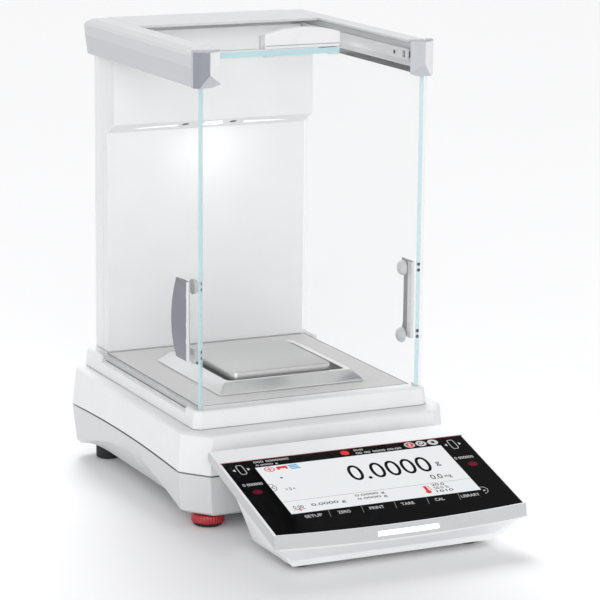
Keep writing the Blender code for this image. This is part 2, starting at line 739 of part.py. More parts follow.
def make_carriage(word, side):
    """Clamp along a door's upper edge, with the rack that the drive pinion moves."""
    start = PANE_Y + 8.0
    end = PANE_Y + 211.0
    section = [
        (90.2, 338.6),
        (90.2, 351.0),
        (92.6, 351.0),
        (92.6, 356.4),
        (94.4, 356.4),
        (94.4, 351.0),
        (96.8, 351.0),
        (96.8, 338.6),
        (95.9, 338.6),
        (95.9, DOOR_TOP_Z + 0.4),
        (91.1, DOOR_TOP_Z + 0.4),
        (91.1, 338.6),
    ]
    section = [(side * x, z) for x, z in section]
    origin = (side * 93.5, start, DOOR_TOP_Z)
    carriage = prism(f"{word}_door_carriage", section, "Y", start, end, "dark_steel", origin)
    outline = rack_outline(side, start + 1.0, end - 1.0)
    join(carriage, prism("rack", outline, "Z", 340.4, 347.6, "dark_steel"))


def make_pinion(word, side):
    centre = (side * PINION_X, PINION_Y)
    root = PINION_RADIUS - TOOTH_DEDENDUM
    tip = PINION_RADIUS + TOOTH_ADDENDUM
    outline = []
    for tooth in range(PINION_TEETH):
        # A gap faces the rack, so that the rack's middle tooth lies in it.
        middle = 2 * math.pi * (tooth + 0.5) / PINION_TEETH
        for radius, half_width in ((root, 0.78), (tip, 0.45), (tip, -0.45), (root, -0.78)):
            angle = middle - half_width / radius
            x = centre[0] + side * radius * math.cos(angle)
            y = centre[1] + radius * math.sin(angle)
            outline.append((x, y))
    axis = (*centre, 344.0)
    gear = prism(f"{word}_drive_pinion", outline, "Z", 340.4, 347.6, "brass", axis)
    join(gear, prism("shaft", circle(1.5, centre, 12), "Z", 320.0, 342.0, "brass"))
    near = (63.0, PANE_Y + 196.0, 306.0)
    far = (COLUMN_HALF_WIDTH - WALL - GAP, PANE_Y + 212.0, COLUMN_TOP_Z - GAP)
    motor = side_block(f"{word}_door_motor", side, near, far, "dark_steel")
    cut(motor, prism("bore", circle(1.9, centre, 12), "Z", 318.0, 345.0, "dark_steel"))


def handle_ring(side, level, bow):
    """Cross-section of a door handle. Its rear edge stands off the glass, by bow more at this level."""
    front = PANE_Y + 21.0
    foot_back = front + 13.0
    back = front + 19.8
    plan = [
        (DOOR_OUTER_X + GAP, front),
        (HANDLE_OUTER_X, front),
        (HANDLE_OUTER_X + bow, back),
        (HANDLE_OUTER_X - 1.6 + bow, back),
        (DOOR_OUTER_X + 1.1 + 0.85 * bow, foot_back),
        (DOOR_OUTER_X + GAP, foot_back),
    ]
    return [(side * x, y, level) for x, y in plan]


def make_side_door(word, side):
    low = (DOOR_INNER_X, DOOR_FRONT_Y, DOOR_BOTTOM_Z)
    high = (DOOR_OUTER_X, DOOR_BACK_Y, DOOR_TOP_Z)
    side_block(f"{word}_door_glass", side, low, high, "glass", (side * 93.5, DOOR_FRONT_Y, DOOR_TOP_Z))
    middle = (HANDLE_BOTTOM_Z + HANDLE_TOP_Z) / 2
    reach = (HANDLE_TOP_Z - HANDLE_BOTTOM_Z) / 2
    rings = []
    for i in range(15):
        along = i / 7 - 1
        rings.append(handle_ring(side, middle + reach * along, HANDLE_BOW * (1 - along * along)))
    loft(f"{word}_door_handle", rings, "handle_grey", origin=(side * 93.5, DOOR_FRONT_Y, DOOR_TOP_Z))
    make_carriage(word, side)
    make_pinion(word, side)


def make_top_door():
    front = PANE_Y + 2.0
    low = (-TOP_GLASS_HALF_WIDTH, front, TOP_GLASS_Z)
    high = (TOP_GLASS_HALF_WIDTH, PANE_Y + 199.4, TOP_GLASS_Z + TOP_GLASS_THICK)
    origin = (0.0, front, TOP_GLASS_Z)
    block("top_door_glass", low, high, "glass", origin)
    foot = TOP_GLASS_Z + TOP_GLASS_THICK + GAP
    half = GRIP_HALF_LENGTH
    arch = [(GRIP_X - half, foot), (GRIP_X + half, foot)]
    for i in range(11):
        along = 1 - i / 5
        height = GRIP_END_Z + (GRIP_TOP_Z - GRIP_END_Z) * (1 - along * along)
        arch.append((GRIP_X + half * along, height))
    prism("top_door_handle", arch, "Y", GRIP_Y - 3.3, GRIP_Y + 3.3, "grip_white", origin)


def make_front_pane():
    low = (-PANE_HALF_WIDTH, PANE_Y, PLINTH_TOP_Z + GAP)
    high = (PANE_HALF_WIDTH, PANE_Y + PANE_THICK, PANE_TOP_Z)
    block("front_pane", low, high, "glass")


# ---------------------------------------------------------------- terminal


def on_glass(along, depth):
    """(y, z) at a distance along the touch glass from its rear edge, and below its surface."""
    y = GLASS_REAR_Y - along * math.cos(TILT) + depth * math.sin(TILT)
    z = GLASS_REAR_Z - along * math.sin(TILT) - depth * math.cos(TILT)
    return (y, z)


def bow_at(x):
    """How far the terminal's bowed front edge stands out at x, compared with its corners."""
    return FRONT_BOW * (1 - (x / TERMINAL_HALF_WIDTH) ** 2)


def stations(low, high, steps=12):
    return [low + (high - low) * i / steps for i in range(steps + 1)]


def glass_slab(name, along, depth, half_width, finish, bowed=True):
    """A slab parallel to the touch glass. Its front edge follows the bow, or lies straight."""
    near, far = along
    top, bottom = depth
    rings = []
    for x in stations(-half_width, half_width, 12 if bowed else 1):
        end = far + bow_at(x) if bowed else far
        corners = [on_glass(near, top), on_glass(end, top), on_glass(end, bottom), on_glass(near, bottom)]
        rings.append(lifted(corners, "X", x))
    return loft(name, rings, finish)


def split_height(y):
    """Height of the joint line between the terminal's cover and its tray."""
    share = (y - SPLIT_FRONT[0]) / (SPLIT_BACK[0] - SPLIT_FRONT[0])
    return SPLIT_FRONT[1] + share * (SPLIT_BACK[1] - SPLIT_FRONT[1])


def front_edge(x):
    """(y, z) of the cover's lower front edge."""
    y = TERMINAL_FRONT_Y + FRONT_BOW - bow_at(x)
    return (y, split_height(y))


def on_front(x, down, depth):
    """(y, z) at a distance down the cover's front face, and behind it."""
    top = on_glass(GLASS_LENGTH + 1.0 + bow_at(x), 0.0)
    end = front_edge(x)
    length = math.dist(top, end)
    run = (end[0] - top[0]) / length
    fall = (end[1] - top[1]) / length
    return (top[0] + run * down - fall * depth, top[1] + fall * down + run * depth)


def front_slab(name, down, depth, low, high, finish):
    near, far = down
    front, back = depth
    corners = ((near, front), (far, front), (far, back), (near, back))
    rings = [lifted([on_front(x, a, b) for a, b in corners], "X", x) for x in stations(low, high, 4)]
    return loft(name, rings, finish)


def cover_ring(x):
    outline = [
        on_glass(-18.0, 0.0),
        on_glass(GLASS_LENGTH + 1.0 + bow_at(x), 0.0),
        front_edge(x),
        SPLIT_BACK,
        (TERMINAL_BACK_Y, 64.6),
    ]
    return lifted(outline, "X", x)


def cover_hollow_ring(x):
    front = TERMINAL_FRONT_Y + FRONT_BOW - bow_at(x) + 3.6
    outline = [
        on_glass(-15.0, 3.6),
        on_glass(GLASS_LENGTH - 1.0 + bow_at(x), 3.6),
        (front, 26.0),
        (front, 10.0),
        (TERMINAL_BACK_Y - 3.0, 40.0),
        (TERMINAL_BACK_Y - 3.0, 60.0),
    ]
    return lifted(outline, "X", x)


def tray_ring(x):
    """Cross-section of the tray: deep in its middle part, thin at its sides."""
    front = front_edge(x)[0]
    bottom = TERMINAL_BOTTOM_Z
    if abs(x) > TRAY_BOTTOM_HALF:
        low = [(y, split_height(y) - 1.7) for y in (-190.0, -189.0, -110.0, -107.5)]
    else:
        low = [(-180.3, 10.0), (-180.0, bottom), (-110.0, bottom), (-107.5, bottom + 3.0)]
    near = [(y, split_height(y) - drop) for y, drop in ((front + 0.8, 0.4), (front + 1.0, 1.7))]
    return lifted(near + low + [(-104.5, split_height(-104.5) - 0.4)], "X", x)


def tray_hollow_ring(half_low, half_high, low, high):
    rows = ((-half_low, low), (half_low, low), (half_high, high), (-half_high, high))
    return [(x, y, z) for x, (y, z) in rows]


def make_terminal():
    half = TERMINAL_HALF_WIDTH
    inner = half - 2.6
    upper = loft("terminal_upper_shell", [cover_ring(x) for x in stations(-half, half)], "housing_white")
    hollow = loft("hollow", [cover_hollow_ring(x) for x in stations(-inner, inner)], "housing_white")
    recess = glass_slab(
        "recess", (-GAP, GLASS_LENGTH + GAP), (-3.0, 1.4), GLASS_HALF_WIDTH + GAP, "housing_white"
    )
    window = glass_slab("window", (7.7, 94.3), (-2.0, 7.0), 79.3, "housing_white", bowed=False)
    bar = (-22.8, 27.8)
    slot = front_slab("slot", (4.1 - GAP, 7.3 + GAP), (-2.0, 8.0), bar[0] - GAP, bar[1] + GAP, "housing_white")
    cut(upper, hollow, recess, window, slot)
    front_slab("terminal_light_bar", (4.1, 7.3), (0.5, 3.5), bar[0], bar[1], "lens_clear")
    glass_slab("terminal_touch_glass", (0.0, GLASS_LENGTH), (0.0, GLASS_THICK), GLASS_HALF_WIDTH, "screen_black")
    glass_slab("terminal_display", (8.0, 94.0), (1.4, 6.0), 79.0, "screen_black", bowed=False)

    tray_half = 100.5
    places = [-tray_half, *stations(-TRAY_BOTTOM_HALF, TRAY_BOTTOM_HALF), tray_half]
    lower = loft("terminal_lower_shell", [tray_ring(x) for x in places], "housing_grey")
    floor = TERMINAL_BOTTOM_Z + 2.6
    ends = ((-175.0, -188.0), (-112.5, -108.0))
    rings = [
        tray_hollow_ring(80.5, 97.0, (low, floor), (high, split_height(high) + 6.0)) for low, high in ends
    ]
    cut(lower, loft("hollow", rings, "housing_grey"))
    near = -109.0
    far = TERMINAL_BACK_Y - 3.4
    lid = [(near, split_height(near) - 2.0), (far, split_height(far) - 2.0)]
    lid += [(y, z + 2.6) for y, z in reversed(lid)]
    join(lower, prism("lid", lid, "X", -99.0, 99.0, "housing_grey"))
    for word, side in SIDES:
        centre = (side * 70.0, PANE_Y - 122.5)
        profile = [(7.5, 0.0), (8.5, 1.2), (8.5, TERMINAL_BOTTOM_Z - GAP)]
        turned(f"terminal_{word}_foot", profile, centre, "rubber_black", count=16)


def make_bracket():
    top = TERMINAL_BOTTOM_Z - GAP
    low = (-45.0, PANE_Y - 95.0, top - 2.4)
    high = (45.0, PANE_Y + 16.0, top)
    plate = block("terminal_bracket", low, high, "dark_steel")
    bosses = []
    for _, side in SIDES:
        outline = circle(6.0, (side * 30.0, PANE_Y - 4.0), 16)
        bosses.append(prism("boss", outline, "Z", top - 1.0, BASE_BOTTOM_Z - GAP, "dark_steel"))
    join(plate, *bosses)


# ---------------------------------------------------------------- assembly


def main():
    clear_scene()
    make_upper_housing()
    make_lower_housing()
    make_sockets()
    make_chassis()
    make_plinth()
    make_feet()
    make_weigh_below_cover()
    make_weighing_cell()
    make_calibration()
    make_weighing_place()
    make_column()
    make_rails()
    for word, side in SIDES:
        make_side_door(word, side)
    make_top_door()
    make_front_pane()
    make_terminal()
    make_bracket()


main()
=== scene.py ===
"""Looks of the analytical balance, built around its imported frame.

All lengths here are millimetres in the frame's own axes, until a mesh is made.
"""

import json
import math

import bmesh
import bpy
from mathutils import Matrix, Vector

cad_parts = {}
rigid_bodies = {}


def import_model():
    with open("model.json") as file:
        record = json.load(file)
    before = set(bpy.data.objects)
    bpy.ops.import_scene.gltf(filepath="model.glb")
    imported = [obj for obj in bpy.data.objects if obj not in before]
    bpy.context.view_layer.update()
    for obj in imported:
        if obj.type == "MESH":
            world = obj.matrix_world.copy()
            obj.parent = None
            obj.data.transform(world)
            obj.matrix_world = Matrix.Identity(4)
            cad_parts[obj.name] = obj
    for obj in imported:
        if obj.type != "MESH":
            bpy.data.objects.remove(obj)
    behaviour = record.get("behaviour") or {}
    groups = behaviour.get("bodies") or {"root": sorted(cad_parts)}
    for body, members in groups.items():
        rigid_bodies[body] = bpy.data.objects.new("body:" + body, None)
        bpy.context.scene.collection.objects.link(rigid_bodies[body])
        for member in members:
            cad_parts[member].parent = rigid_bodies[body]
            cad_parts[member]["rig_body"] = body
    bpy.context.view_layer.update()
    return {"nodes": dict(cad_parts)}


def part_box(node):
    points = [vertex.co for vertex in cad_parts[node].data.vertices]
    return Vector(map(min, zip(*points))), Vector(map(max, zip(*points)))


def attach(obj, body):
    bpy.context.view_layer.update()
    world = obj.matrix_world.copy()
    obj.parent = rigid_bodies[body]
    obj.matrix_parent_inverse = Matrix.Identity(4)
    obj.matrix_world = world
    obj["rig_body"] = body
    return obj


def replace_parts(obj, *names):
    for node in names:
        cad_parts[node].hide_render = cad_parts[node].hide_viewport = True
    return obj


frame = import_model()

MM = 0.001
SIDES = (("left", -1), ("right", 1))

# Overall
BACK_Y = 197.5
PANE_Y = BACK_Y - 235.0

# Base
BASE_HALF = 115.0
BASE_FRONT_Y = PANE_Y - 24.4
BASE_BOTTOM_Z = 11.0
BASE_TOP_Z = 74.6
PARTING_Z = 43.4
PARTING_BOW = 3.3
WALL = 3.0
ARCH_TOP_Z = 32.2
ARCH_PEAK_Y = PANE_Y + 92.0
ARCH_FRONT_REACH = 102.0
ARCH_BACK_REACH = 128.0
ARCH_INNER_X = 98.0
PLINTH_TOP_Z = 89.0
LEDGE_Z = 84.0

# Weighing place
PAN_Y = PANE_Y + 99.6
PAN_HALF = 43.5
PAN_TOP_Z = 101.3
RING_TOP_Z = 97.7

# Column
UPPER_WALL_Y = PANE_Y + 191.3
LOWER_WALL_Y = PANE_Y + 207.0
LEDGE_TOP_Z = 282.0
LEDGE_BOTTOM_Z = 273.6

# Draft shield
RAIL_INNER_X = 80.0
RAIL_OUTER_X = 100.8
RAIL_BOTTOM_Z = 337.8
RAIL_BACK_Y = PANE_Y + 228.0
RAIL_TOP_Z = 366.0
DOOR_INNER_X = 91.5
DOOR_OUTER_X = 95.5
HANDLE_BOTTOM_Z = 124.0
HANDLE_TOP_Z = 186.4
TOP_GLASS_Z = 359.0
TOP_GLASS_THICK = 4.6
GRIP_X = -10.3
GRIP_HALF = 31.5
GRIP_TOP_Z = 380.0
GRIP_END_Z = 375.4

# Feet
FOOT_X = 91.0
FOOT_Y = PANE_Y - 4.0
REAR_FOOT_Y = PANE_Y + 205.0

# Terminal
TILT = math.radians(15.6)
GLASS_REAR_Y = PANE_Y - 53.4
GLASS_REAR_Z = 62.1
TERMINAL_BOTTOM_Z = 5.4
TERMINAL_FOOT = (70.0, PANE_Y - 122.5)


# ---- materials


def new_material(name):
    made = bpy.data.materials.new(name)
    made.use_nodes = True
    return made, made.node_tree.nodes, made.node_tree.links, made.node_tree.nodes["Principled BSDF"]


def put(node, values):
    """Sets sockets of a node, by name."""
    for socket, value in values.items():
        node.inputs[socket].default_value = value


EVEN = (1.0, 1.0, 1.0)


def object_noise(nodes, links, scale, detail=3.0, stretch=EVEN):
    """Noise fixed to the piece, with its grain stretched along an axis where stretch is below 1."""
    coordinates = nodes.new("ShaderNodeTexCoord")
    mapping = nodes.new("ShaderNodeMapping")
    noise = nodes.new("ShaderNodeTexNoise")
    put(mapping, {"Scale": stretch})
    put(noise, {"Scale": scale, "Detail": detail})
    links.new(coordinates.outputs["Object"], mapping.inputs["Vector"])
    links.new(mapping.outputs["Vector"], noise.inputs["Vector"])
    return noise.outputs["Fac"]


def spread(nodes, links, source, low, high):
    """source, stretched to run from low to high."""
    ranged = nodes.new("ShaderNodeMapRange")
    put(ranged, {"From Min": 0.3, "From Max": 0.7, "To Min": low, "To Max": high})
    links.new(source, ranged.inputs["Value"])
    return ranged.outputs["Result"]


def ramped(nodes, links, source, *stops):
    """A colour that runs between two (position, colour) stops with source."""
    ramp = nodes.new("ShaderNodeValToRGB")
    for element, (position, colour) in zip(ramp.color_ramp.elements, stops):
        element.position = position
        element.color = (*colour, 1.0)
    links.new(source, ramp.inputs["Fac"])
    return ramp.outputs["Color"]


def tinted(nodes, links, source, colour, change):
    """A colour that varies by a share of itself with source."""
    darker = [c * (1 - change) for c in colour]
    lighter = [min(1.0, c * (1 + change)) for c in colour]
    return ramped(nodes, links, source, (0.3, darker), (0.7, lighter))


def bumped(nodes, links, shader, source, strength, distance):
    bump = nodes.new("ShaderNodeBump")
    put(bump, {"Strength": strength, "Distance": distance})
    links.new(source, bump.inputs["Height"])
    links.new(bump.outputs["Normal"], shader.inputs["Normal"])


def plastic(name, colour, roughness, grain=1400.0, strength=0.12, change=0.02, coat=0.0, shine=0.5):
    """Moulded or lacquered plastic: a fine even texture, faint cloudiness in colour and gloss."""
    made, nodes, links, shader = new_material(name)
    cloud = object_noise(nodes, links, 35.0)
    links.new(tinted(nodes, links, cloud, colour, change), shader.inputs["Base Color"])
    gloss = spread(nodes, links, cloud, roughness - 0.05, roughness + 0.05)
    links.new(gloss, shader.inputs["Roughness"])
    put(shader, {"Coat Weight": coat, "Coat Roughness": 0.12, "Specular IOR Level": shine})
    bumped(nodes, links, shader, object_noise(nodes, links, grain, 2.0), strength, 0.00005)
    return made


def metal(name, colour, roughness, stretch=EVEN, grain=700.0, strength=0.2, change=0.06, metallic=1.0):
    """Metal with a ground or brushed grain."""
    made, nodes, links, shader = new_material(name)
    put(shader, {"Metallic": metallic})
    lines = object_noise(nodes, links, grain, 4.0, stretch)
    links.new(tinted(nodes, links, lines, colour, change), shader.inputs["Base Color"])
    gloss = spread(nodes, links, lines, roughness - 0.06, roughness + 0.08)
    links.new(gloss, shader.inputs["Roughness"])
    bumped(nodes, links, shader, lines, strength, 0.00003)
    return made


def clear(name, colour, alpha, roughness=0.02):
    made, _, _, shader = new_material(name)
    put(shader, {"Base Color": (*colour, 1.0), "Roughness": roughness, "Alpha": alpha, "IOR": 1.5})
    return made


def glowing(name, colour, strength, shine=0.5):
    made, _, _, shader = new_material(name)
    put(shader, {"Base Color": (0.02, 0.02, 0.02, 1.0), "Roughness": 0.15, "Specular IOR Level": shine})
    put(shader, {"Emission Color": (*colour, 1.0), "Emission Strength": strength})
    return made


def lacquer(name, colour, roughness, change=0.02, coat=0.0):
    return plastic(name, colour, roughness, strength=0.02, change=change, coat=coat)


BRUSHED_X = (0.04, 1.0, 1.0)

LOOKS = {
    "white": plastic("white_plastic", (0.82, 0.825, 0.835), 0.40),
    "grey": plastic("pale_grey_plastic", (0.86, 0.865, 0.88), 0.42),
    "base_low": plastic("base_lower_plastic", (0.66, 0.665, 0.68), 0.42),
    # Painted light: the terminal cover is one white plastic, with its top face painted lighter and its front
    # and sides painted darker.
    "shell_top_painted_light": plastic("terminal_top_painted_light", (0.96, 0.965, 0.975), 0.42),
    "shell": plastic("terminal_sides_painted_shade", (0.57, 0.575, 0.59), 0.42),
    "wall": plastic("chamber_wall", (0.81, 0.813, 0.82), 0.38, grain=900.0),
    "rail": lacquer("rail_lacquer", (0.66, 0.665, 0.68), 0.36, 0.01),
    # Painted shade: the rail's outer side is the same lacquer painted darker, and darker still below its
    # shoulder.
    "rail_upper_side_shade": lacquer("rail_upper_side_painted_shade", (0.58, 0.585, 0.61), 0.34, 0.01),
    "rail_lower_side_shade": lacquer("rail_lower_side_painted_shade", (0.53, 0.535, 0.56), 0.34, 0.01),
    # Painted reflection: the end caps are one chrome-like grey, and these tones stand in for what each facet
    # reflects. The white one is a painted highlight on the caps and a plain white lacquer on the track lips
    # and grip screws.
    "cap_dark_reflection": lacquer("cap_painted_dark_reflection", (0.25, 0.26, 0.30), 0.28, coat=0.3),
    "cap_mid_reflection": lacquer("cap_painted_mid_reflection", (0.47, 0.48, 0.52), 0.28, coat=0.3),
    "cap_light": lacquer("white_lacquer_and_cap_painted_highlight", (0.76, 0.77, 0.79), 0.25, coat=0.3),
    "cap_side_reflection": lacquer("cap_painted_side_reflection", (0.48, 0.49, 0.53), 0.28, coat=0.3),
    "handle": plastic("slate_plastic", (0.20, 0.205, 0.24), 0.36),
    "handle_dark": plastic("slate_end_plastic", (0.19, 0.19, 0.215), 0.4),
    "knob": plastic("frosted_plastic", (0.55, 0.555, 0.56), 0.3, grain=500.0, strength=0.3),
    "grip": plastic("grip_plastic", (0.74, 0.74, 0.75), 0.3, coat=0.2),
    "steel": metal("brushed_steel", (0.78, 0.775, 0.77), 0.46, BRUSHED_X, metallic=0.75),
    "satin": metal("satin_steel", (0.70, 0.697, 0.692), 0.40, grain=1500.0),
    "polished": metal("polished_steel", (0.80, 0.80, 0.80), 0.12, BRUSHED_X, strength=0.05),
    "ring": metal("ring_steel", (0.93, 0.93, 0.93), 0.2, BRUSHED_X, strength=0.0, change=0.01),
    "aluminium": metal("machined_aluminium", (0.74, 0.75, 0.76), 0.32, (1.0, 0.06, 1.0)),
    "brass": metal("turned_brass", (0.78, 0.58, 0.27), 0.28),
    "copper": metal("wound_copper", (0.75, 0.36, 0.2), 0.3, (1.0, 1.0, 8.0)),
    "dark_steel": metal("dark_steel", (0.16, 0.16, 0.18), 0.36),
    "rack": metal("rack_steel", (0.36, 0.36, 0.38), 0.35),
    "board": plastic("board_green", (0.02, 0.2, 0.07), 0.4, grain=300.0, change=0.3),
    "red": plastic("red_plastic", (0.42, 0.012, 0.018), 0.3, coat=0.25),
    "rubber": plastic("black_rubber", (0.02, 0.02, 0.021), 0.75, grain=700.0, strength=0.4),
    "black": plastic("black_plastic", (0.018, 0.018, 0.02), 0.4),
    "seam": plastic("seam_grey", (0.17, 0.17, 0.175), 0.6),
    "screen": plastic("screen_black", (0.0035, 0.0035, 0.0038), 0.08, grain=50.0, strength=0.0, shine=0.03),
    "pane": clear("clear_pane", (0.70, 0.715, 0.715), 0.045),
    "pane_top": clear("clear_top_pane", (0.52, 0.53, 0.53), 0.14),
    "pane_edge": clear("pane_edge", (0.50, 0.71, 0.75), 0.76, 0.12),
    "pane_faint": clear("pane_faint_edge", (0.72, 0.78, 0.79), 0.16, 0.12),
    # Painted shade: the dark line in the door track.
    "track": plastic("track_gap_painted_shade", (0.055, 0.095, 0.12), 0.3),
    "accent": plastic("accent_line", (0.36, 0.02, 0.03), 0.4),
    "lens": glowing("light_lens", (0.95, 0.97, 1.0), 1.0),
    "lamp": glowing("lamp_window", (1.0, 1.0, 1.0), 3.0),
    "bar": glowing("light_bar", (1.0, 1.0, 1.0), 1.6),
    "page": glowing("display_page", (0.87, 0.89, 0.91), 0.92, shine=0.03),
    "ink": plastic("display_ink", (0.006, 0.006, 0.007), 0.15, strength=0.0, shine=0.03),
    "ink_grey": glowing("display_grey", (0.30, 0.31, 0.33), 0.8, shine=0.03),
    "mark_white": glowing("display_white", (0.80, 0.80, 0.82), 0.75, shine=0.03),
    "mark_dim": glowing("display_dim", (0.30, 0.31, 0.33), 0.6, shine=0.03),
    "mark_red": glowing("display_red", (0.72, 0.03, 0.03), 1.0, shine=0.03),
    "mark_blue": glowing("display_blue", (0.13, 0.42, 0.68), 1.0, shine=0.03),
    "sensor": plastic("sensor_window", (0.15, 0.003, 0.025), 0.2, strength=0.0, shine=0.05),
}


# ---- mesh helpers


# Degrees between two faces from which the edge between them is sharp, and is rounded
SHARP = 32.0


def add_object(name, data):
    obj = bpy.data.objects.new(name, data)
    bpy.context.scene.collection.objects.link(obj)
    return obj


def add_piece(name, mesh, looks, body, slot):
    """A piece of mesh that rides on body, in the looks named."""
    for look in looks:
        mesh.materials.append(LOOKS[look])
    obj = add_object(name, mesh)
    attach(obj, body)
    return obj


def evaluated(obj):
    """The mesh of an object with its modifiers applied."""
    return bpy.data.meshes.new_from_object(obj.evaluated_get(bpy.context.evaluated_depsgraph_get()))


def add_bevel(obj, width, segments, limit):
    bevel = obj.modifiers.new("edge", "BEVEL")
    bevel.width = width
    bevel.segments = segments
    bevel.limit_method = "ANGLE"
    bevel.angle_limit = limit
    bevel.harden_normals = True


def build(name, points, faces, looks, body, slot, soft=0.0, angle=SHARP, segments=3):
    """A piece from points in millimetres, riding on body. soft is the radius put on its edges."""
    mesh = bpy.data.meshes.new(name)
    mesh.from_pydata([Vector(p) * MM for p in points], [], faces)
    work = bmesh.new()
    work.from_mesh(mesh)
    bmesh.ops.recalc_face_normals(work, faces=work.faces)
    work.to_mesh(mesh)
    work.free()
    mesh.shade_smooth()
    mesh.set_sharp_from_angle(angle=math.radians(angle))
    obj = add_piece(name, mesh, [looks] if isinstance(looks, str) else looks, body, slot)
    if soft:
        add_bevel(obj, soft * MM, segments, math.radians(angle))
    return obj


def loft(name, rings, looks, body, slot, soft=0.0, closed=False, **more):
    count = len(rings[0])
    points = [p for ring in rings for p in ring]
    faces = []
    for level in range(len(rings) if closed else len(rings) - 1):
        low = level * count
        high = (level + 1) % len(rings) * count
        for i in range(count):
            j = (i + 1) % count
            faces.append((low + i, low + j, high + j, high + i))
    if not closed:
        faces.append(tuple(range(count)))
        faces.append(tuple((len(rings) - 1) * count + i for i in range(count)))
    return build(name, points, faces, looks, body, slot, soft, **more)


def lifted(outline, axis, level):
    if axis == "X":
        return [(level, a, b) for a, b in outline]
    if axis == "Y":
        return [(a, level, b) for a, b in outline]
    return [(a, b, level) for a, b in outline]


def prism(name, outline, axis, low, high, looks, body, slot, soft=0.0):
    rings = [lifted(outline, axis, low), lifted(outline, axis, high)]
    return loft(name, rings, looks, body, slot, soft)


def block(name, low, high, looks, body, slot, soft=0.0):
    corners = [(low[0], low[1]), (high[0], low[1]), (high[0], high[1]), (low[0], high[1])]
    return prism(name, corners, "Z", low[2], high[2], looks, body, slot, soft)


def side_block(name, side, low, high, looks, body, slot):
    """A block whose corners are given for the right side, put on either side."""
    near, far = sorted((side * low[0], side * high[0]))
    return block(name, (near, *low[1:]), (far, *high[1:]), looks, body, slot)


def circle(radius, centre, count=48):
    turn = 2 * math.pi / count
    return [
        (centre[0] + radius * math.cos(i * turn), centre[1] + radius * math.sin(i * turn))
        for i in range(count)
    ]


def turned(name, profile, centre, looks, body, slot):
    rings = [lifted(circle(radius, centre, 64), "Z", z) for radius, z in profile]
    return loft(name, rings, looks, body, slot)


def joined(name, parts, look, body, slot):
    """One piece from several that have the same look."""
    work = bmesh.new()
    for part in parts:
        made = evaluated(part)
        made.transform(part.matrix_world)
        work.from_mesh(made)
        bpy.data.meshes.remove(made)
        bpy.data.objects.remove(part, do_unlink=True)
    mesh = bpy.data.meshes.new(name)
    work.to_mesh(mesh)
    work.free()
    add_piece(name, mesh, [look], body, slot)


def cleaned(mesh, flat):
    """Its bmesh with doubled points merged, and faces within flat degrees of each other joined."""
    work = bmesh.new()
    work.from_mesh(mesh)
    bmesh.ops.remove_doubles(work, verts=work.verts, dist=2e-6)
    limit = math.radians(flat)
    bmesh.ops.dissolve_limit(work, angle_limit=limit, verts=work.verts, edges=work.edges)
    return work


def cut(target, *tools):
    """Cuts the tools from target, keeping only its edge rounding as a modifier."""
    bevels = [m for m in target.modifiers if m.type == "BEVEL"]
    kept = [(m.width, m.segments, m.angle_limit) for m in bevels]
    target.modifiers.clear()
    for tool in tools:
        tool.modifiers.clear()
        change = target.modifiers.new("cut", "BOOLEAN")
        change.operation = "DIFFERENCE"
        change.solver = "EXACT"
        change.object = tool
    bpy.context.view_layer.update()
    mesh = evaluated(target)
    target.modifiers.clear()
    target.data = mesh
    for tool in tools:
        bpy.data.objects.remove(tool, do_unlink=True)
    work = cleaned(mesh, 0.4)
    work.to_mesh(mesh)
    work.free()
    mesh.shade_smooth()
    mesh.set_sharp_from_angle(angle=math.radians(SHARP))
    for bevel in kept:
        add_bevel(target, *bevel)


def body_of(node):
    return frame["nodes"][node]["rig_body"]


def paint(obj, pick):
    """Gives each face the look whose place pick(normal, centre) returns."""
    for polygon in obj.data.polygons:
        polygon.material_index = pick(polygon.normal, polygon.center / MM)


def recast(node, name, look, slot, soft, pick=None, angle=SHARP, segments=3):
    """A piece with a CAD node's own shape, its edges rounded. pick gives a face's place in look."""
    work = cleaned(frame["nodes"][node].data, 0.5)
    points = [v.co / MM for v in work.verts]
    faces = [[v.index for v in f.verts] for f in work.faces]
    work.free()
    obj = build(name, points, faces, look, body_of(node), slot, soft, angle, segments)
    if pick:
        paint(obj, pick)
    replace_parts(obj, node)
    return obj


# ---- base


CORNER = 14.0


def base_ring(inset, level, bow=0.0):
    """Plan outline of the base, pulled in by inset. Its long sides rise by bow at their middle."""
    half = BASE_HALF - inset
    front = BASE_FRONT_Y + inset
    back = BACK_Y - inset
    start = front + 21.9
    end = back - CORNER
    steps = 40
    bow_middle = (BASE_FRONT_Y + BACK_Y) / 2 + 4.0
    bow_reach = (BACK_Y - BASE_FRONT_Y) / 2 - 18.0

    def height(y):
        along = (y - bow_middle) / bow_reach
        return level + bow * max(0.0, 1 - along * along)

    right = [(half - 17.3, front, level)]
    right += [(half, start + (end - start) * i / steps, 0.0) for i in range(steps + 1)]
    for i in range(1, 9):
        t = i / 8
        x = half - CORNER * t * t
        y = end + CORNER * (1 - (1 - t) ** 2)
        right.append((x, y, level))
    right = [(x, y, height(y) if x == half else level) for x, y, _ in right]
    return right + [(-x, y, z) for x, y, z in reversed(right)]


def arch_height(y):
    reach = ARCH_FRONT_REACH if y < ARCH_PEAK_Y else ARCH_BACK_REACH
    power = 1.6 if y < ARCH_PEAK_Y else 2.1
    return max(0.0, 1 - (abs(y - ARCH_PEAK_Y) / reach) ** power)


BLACK = ("black", "root", "plastic_black")
ARCH_OUTER_X = 126.0


def tool_block(low, high):
    return block("tool", low, high, *BLACK)


def tool_prism(outline, axis, low, high):
    return prism("tool", outline, axis, low, high, *BLACK)


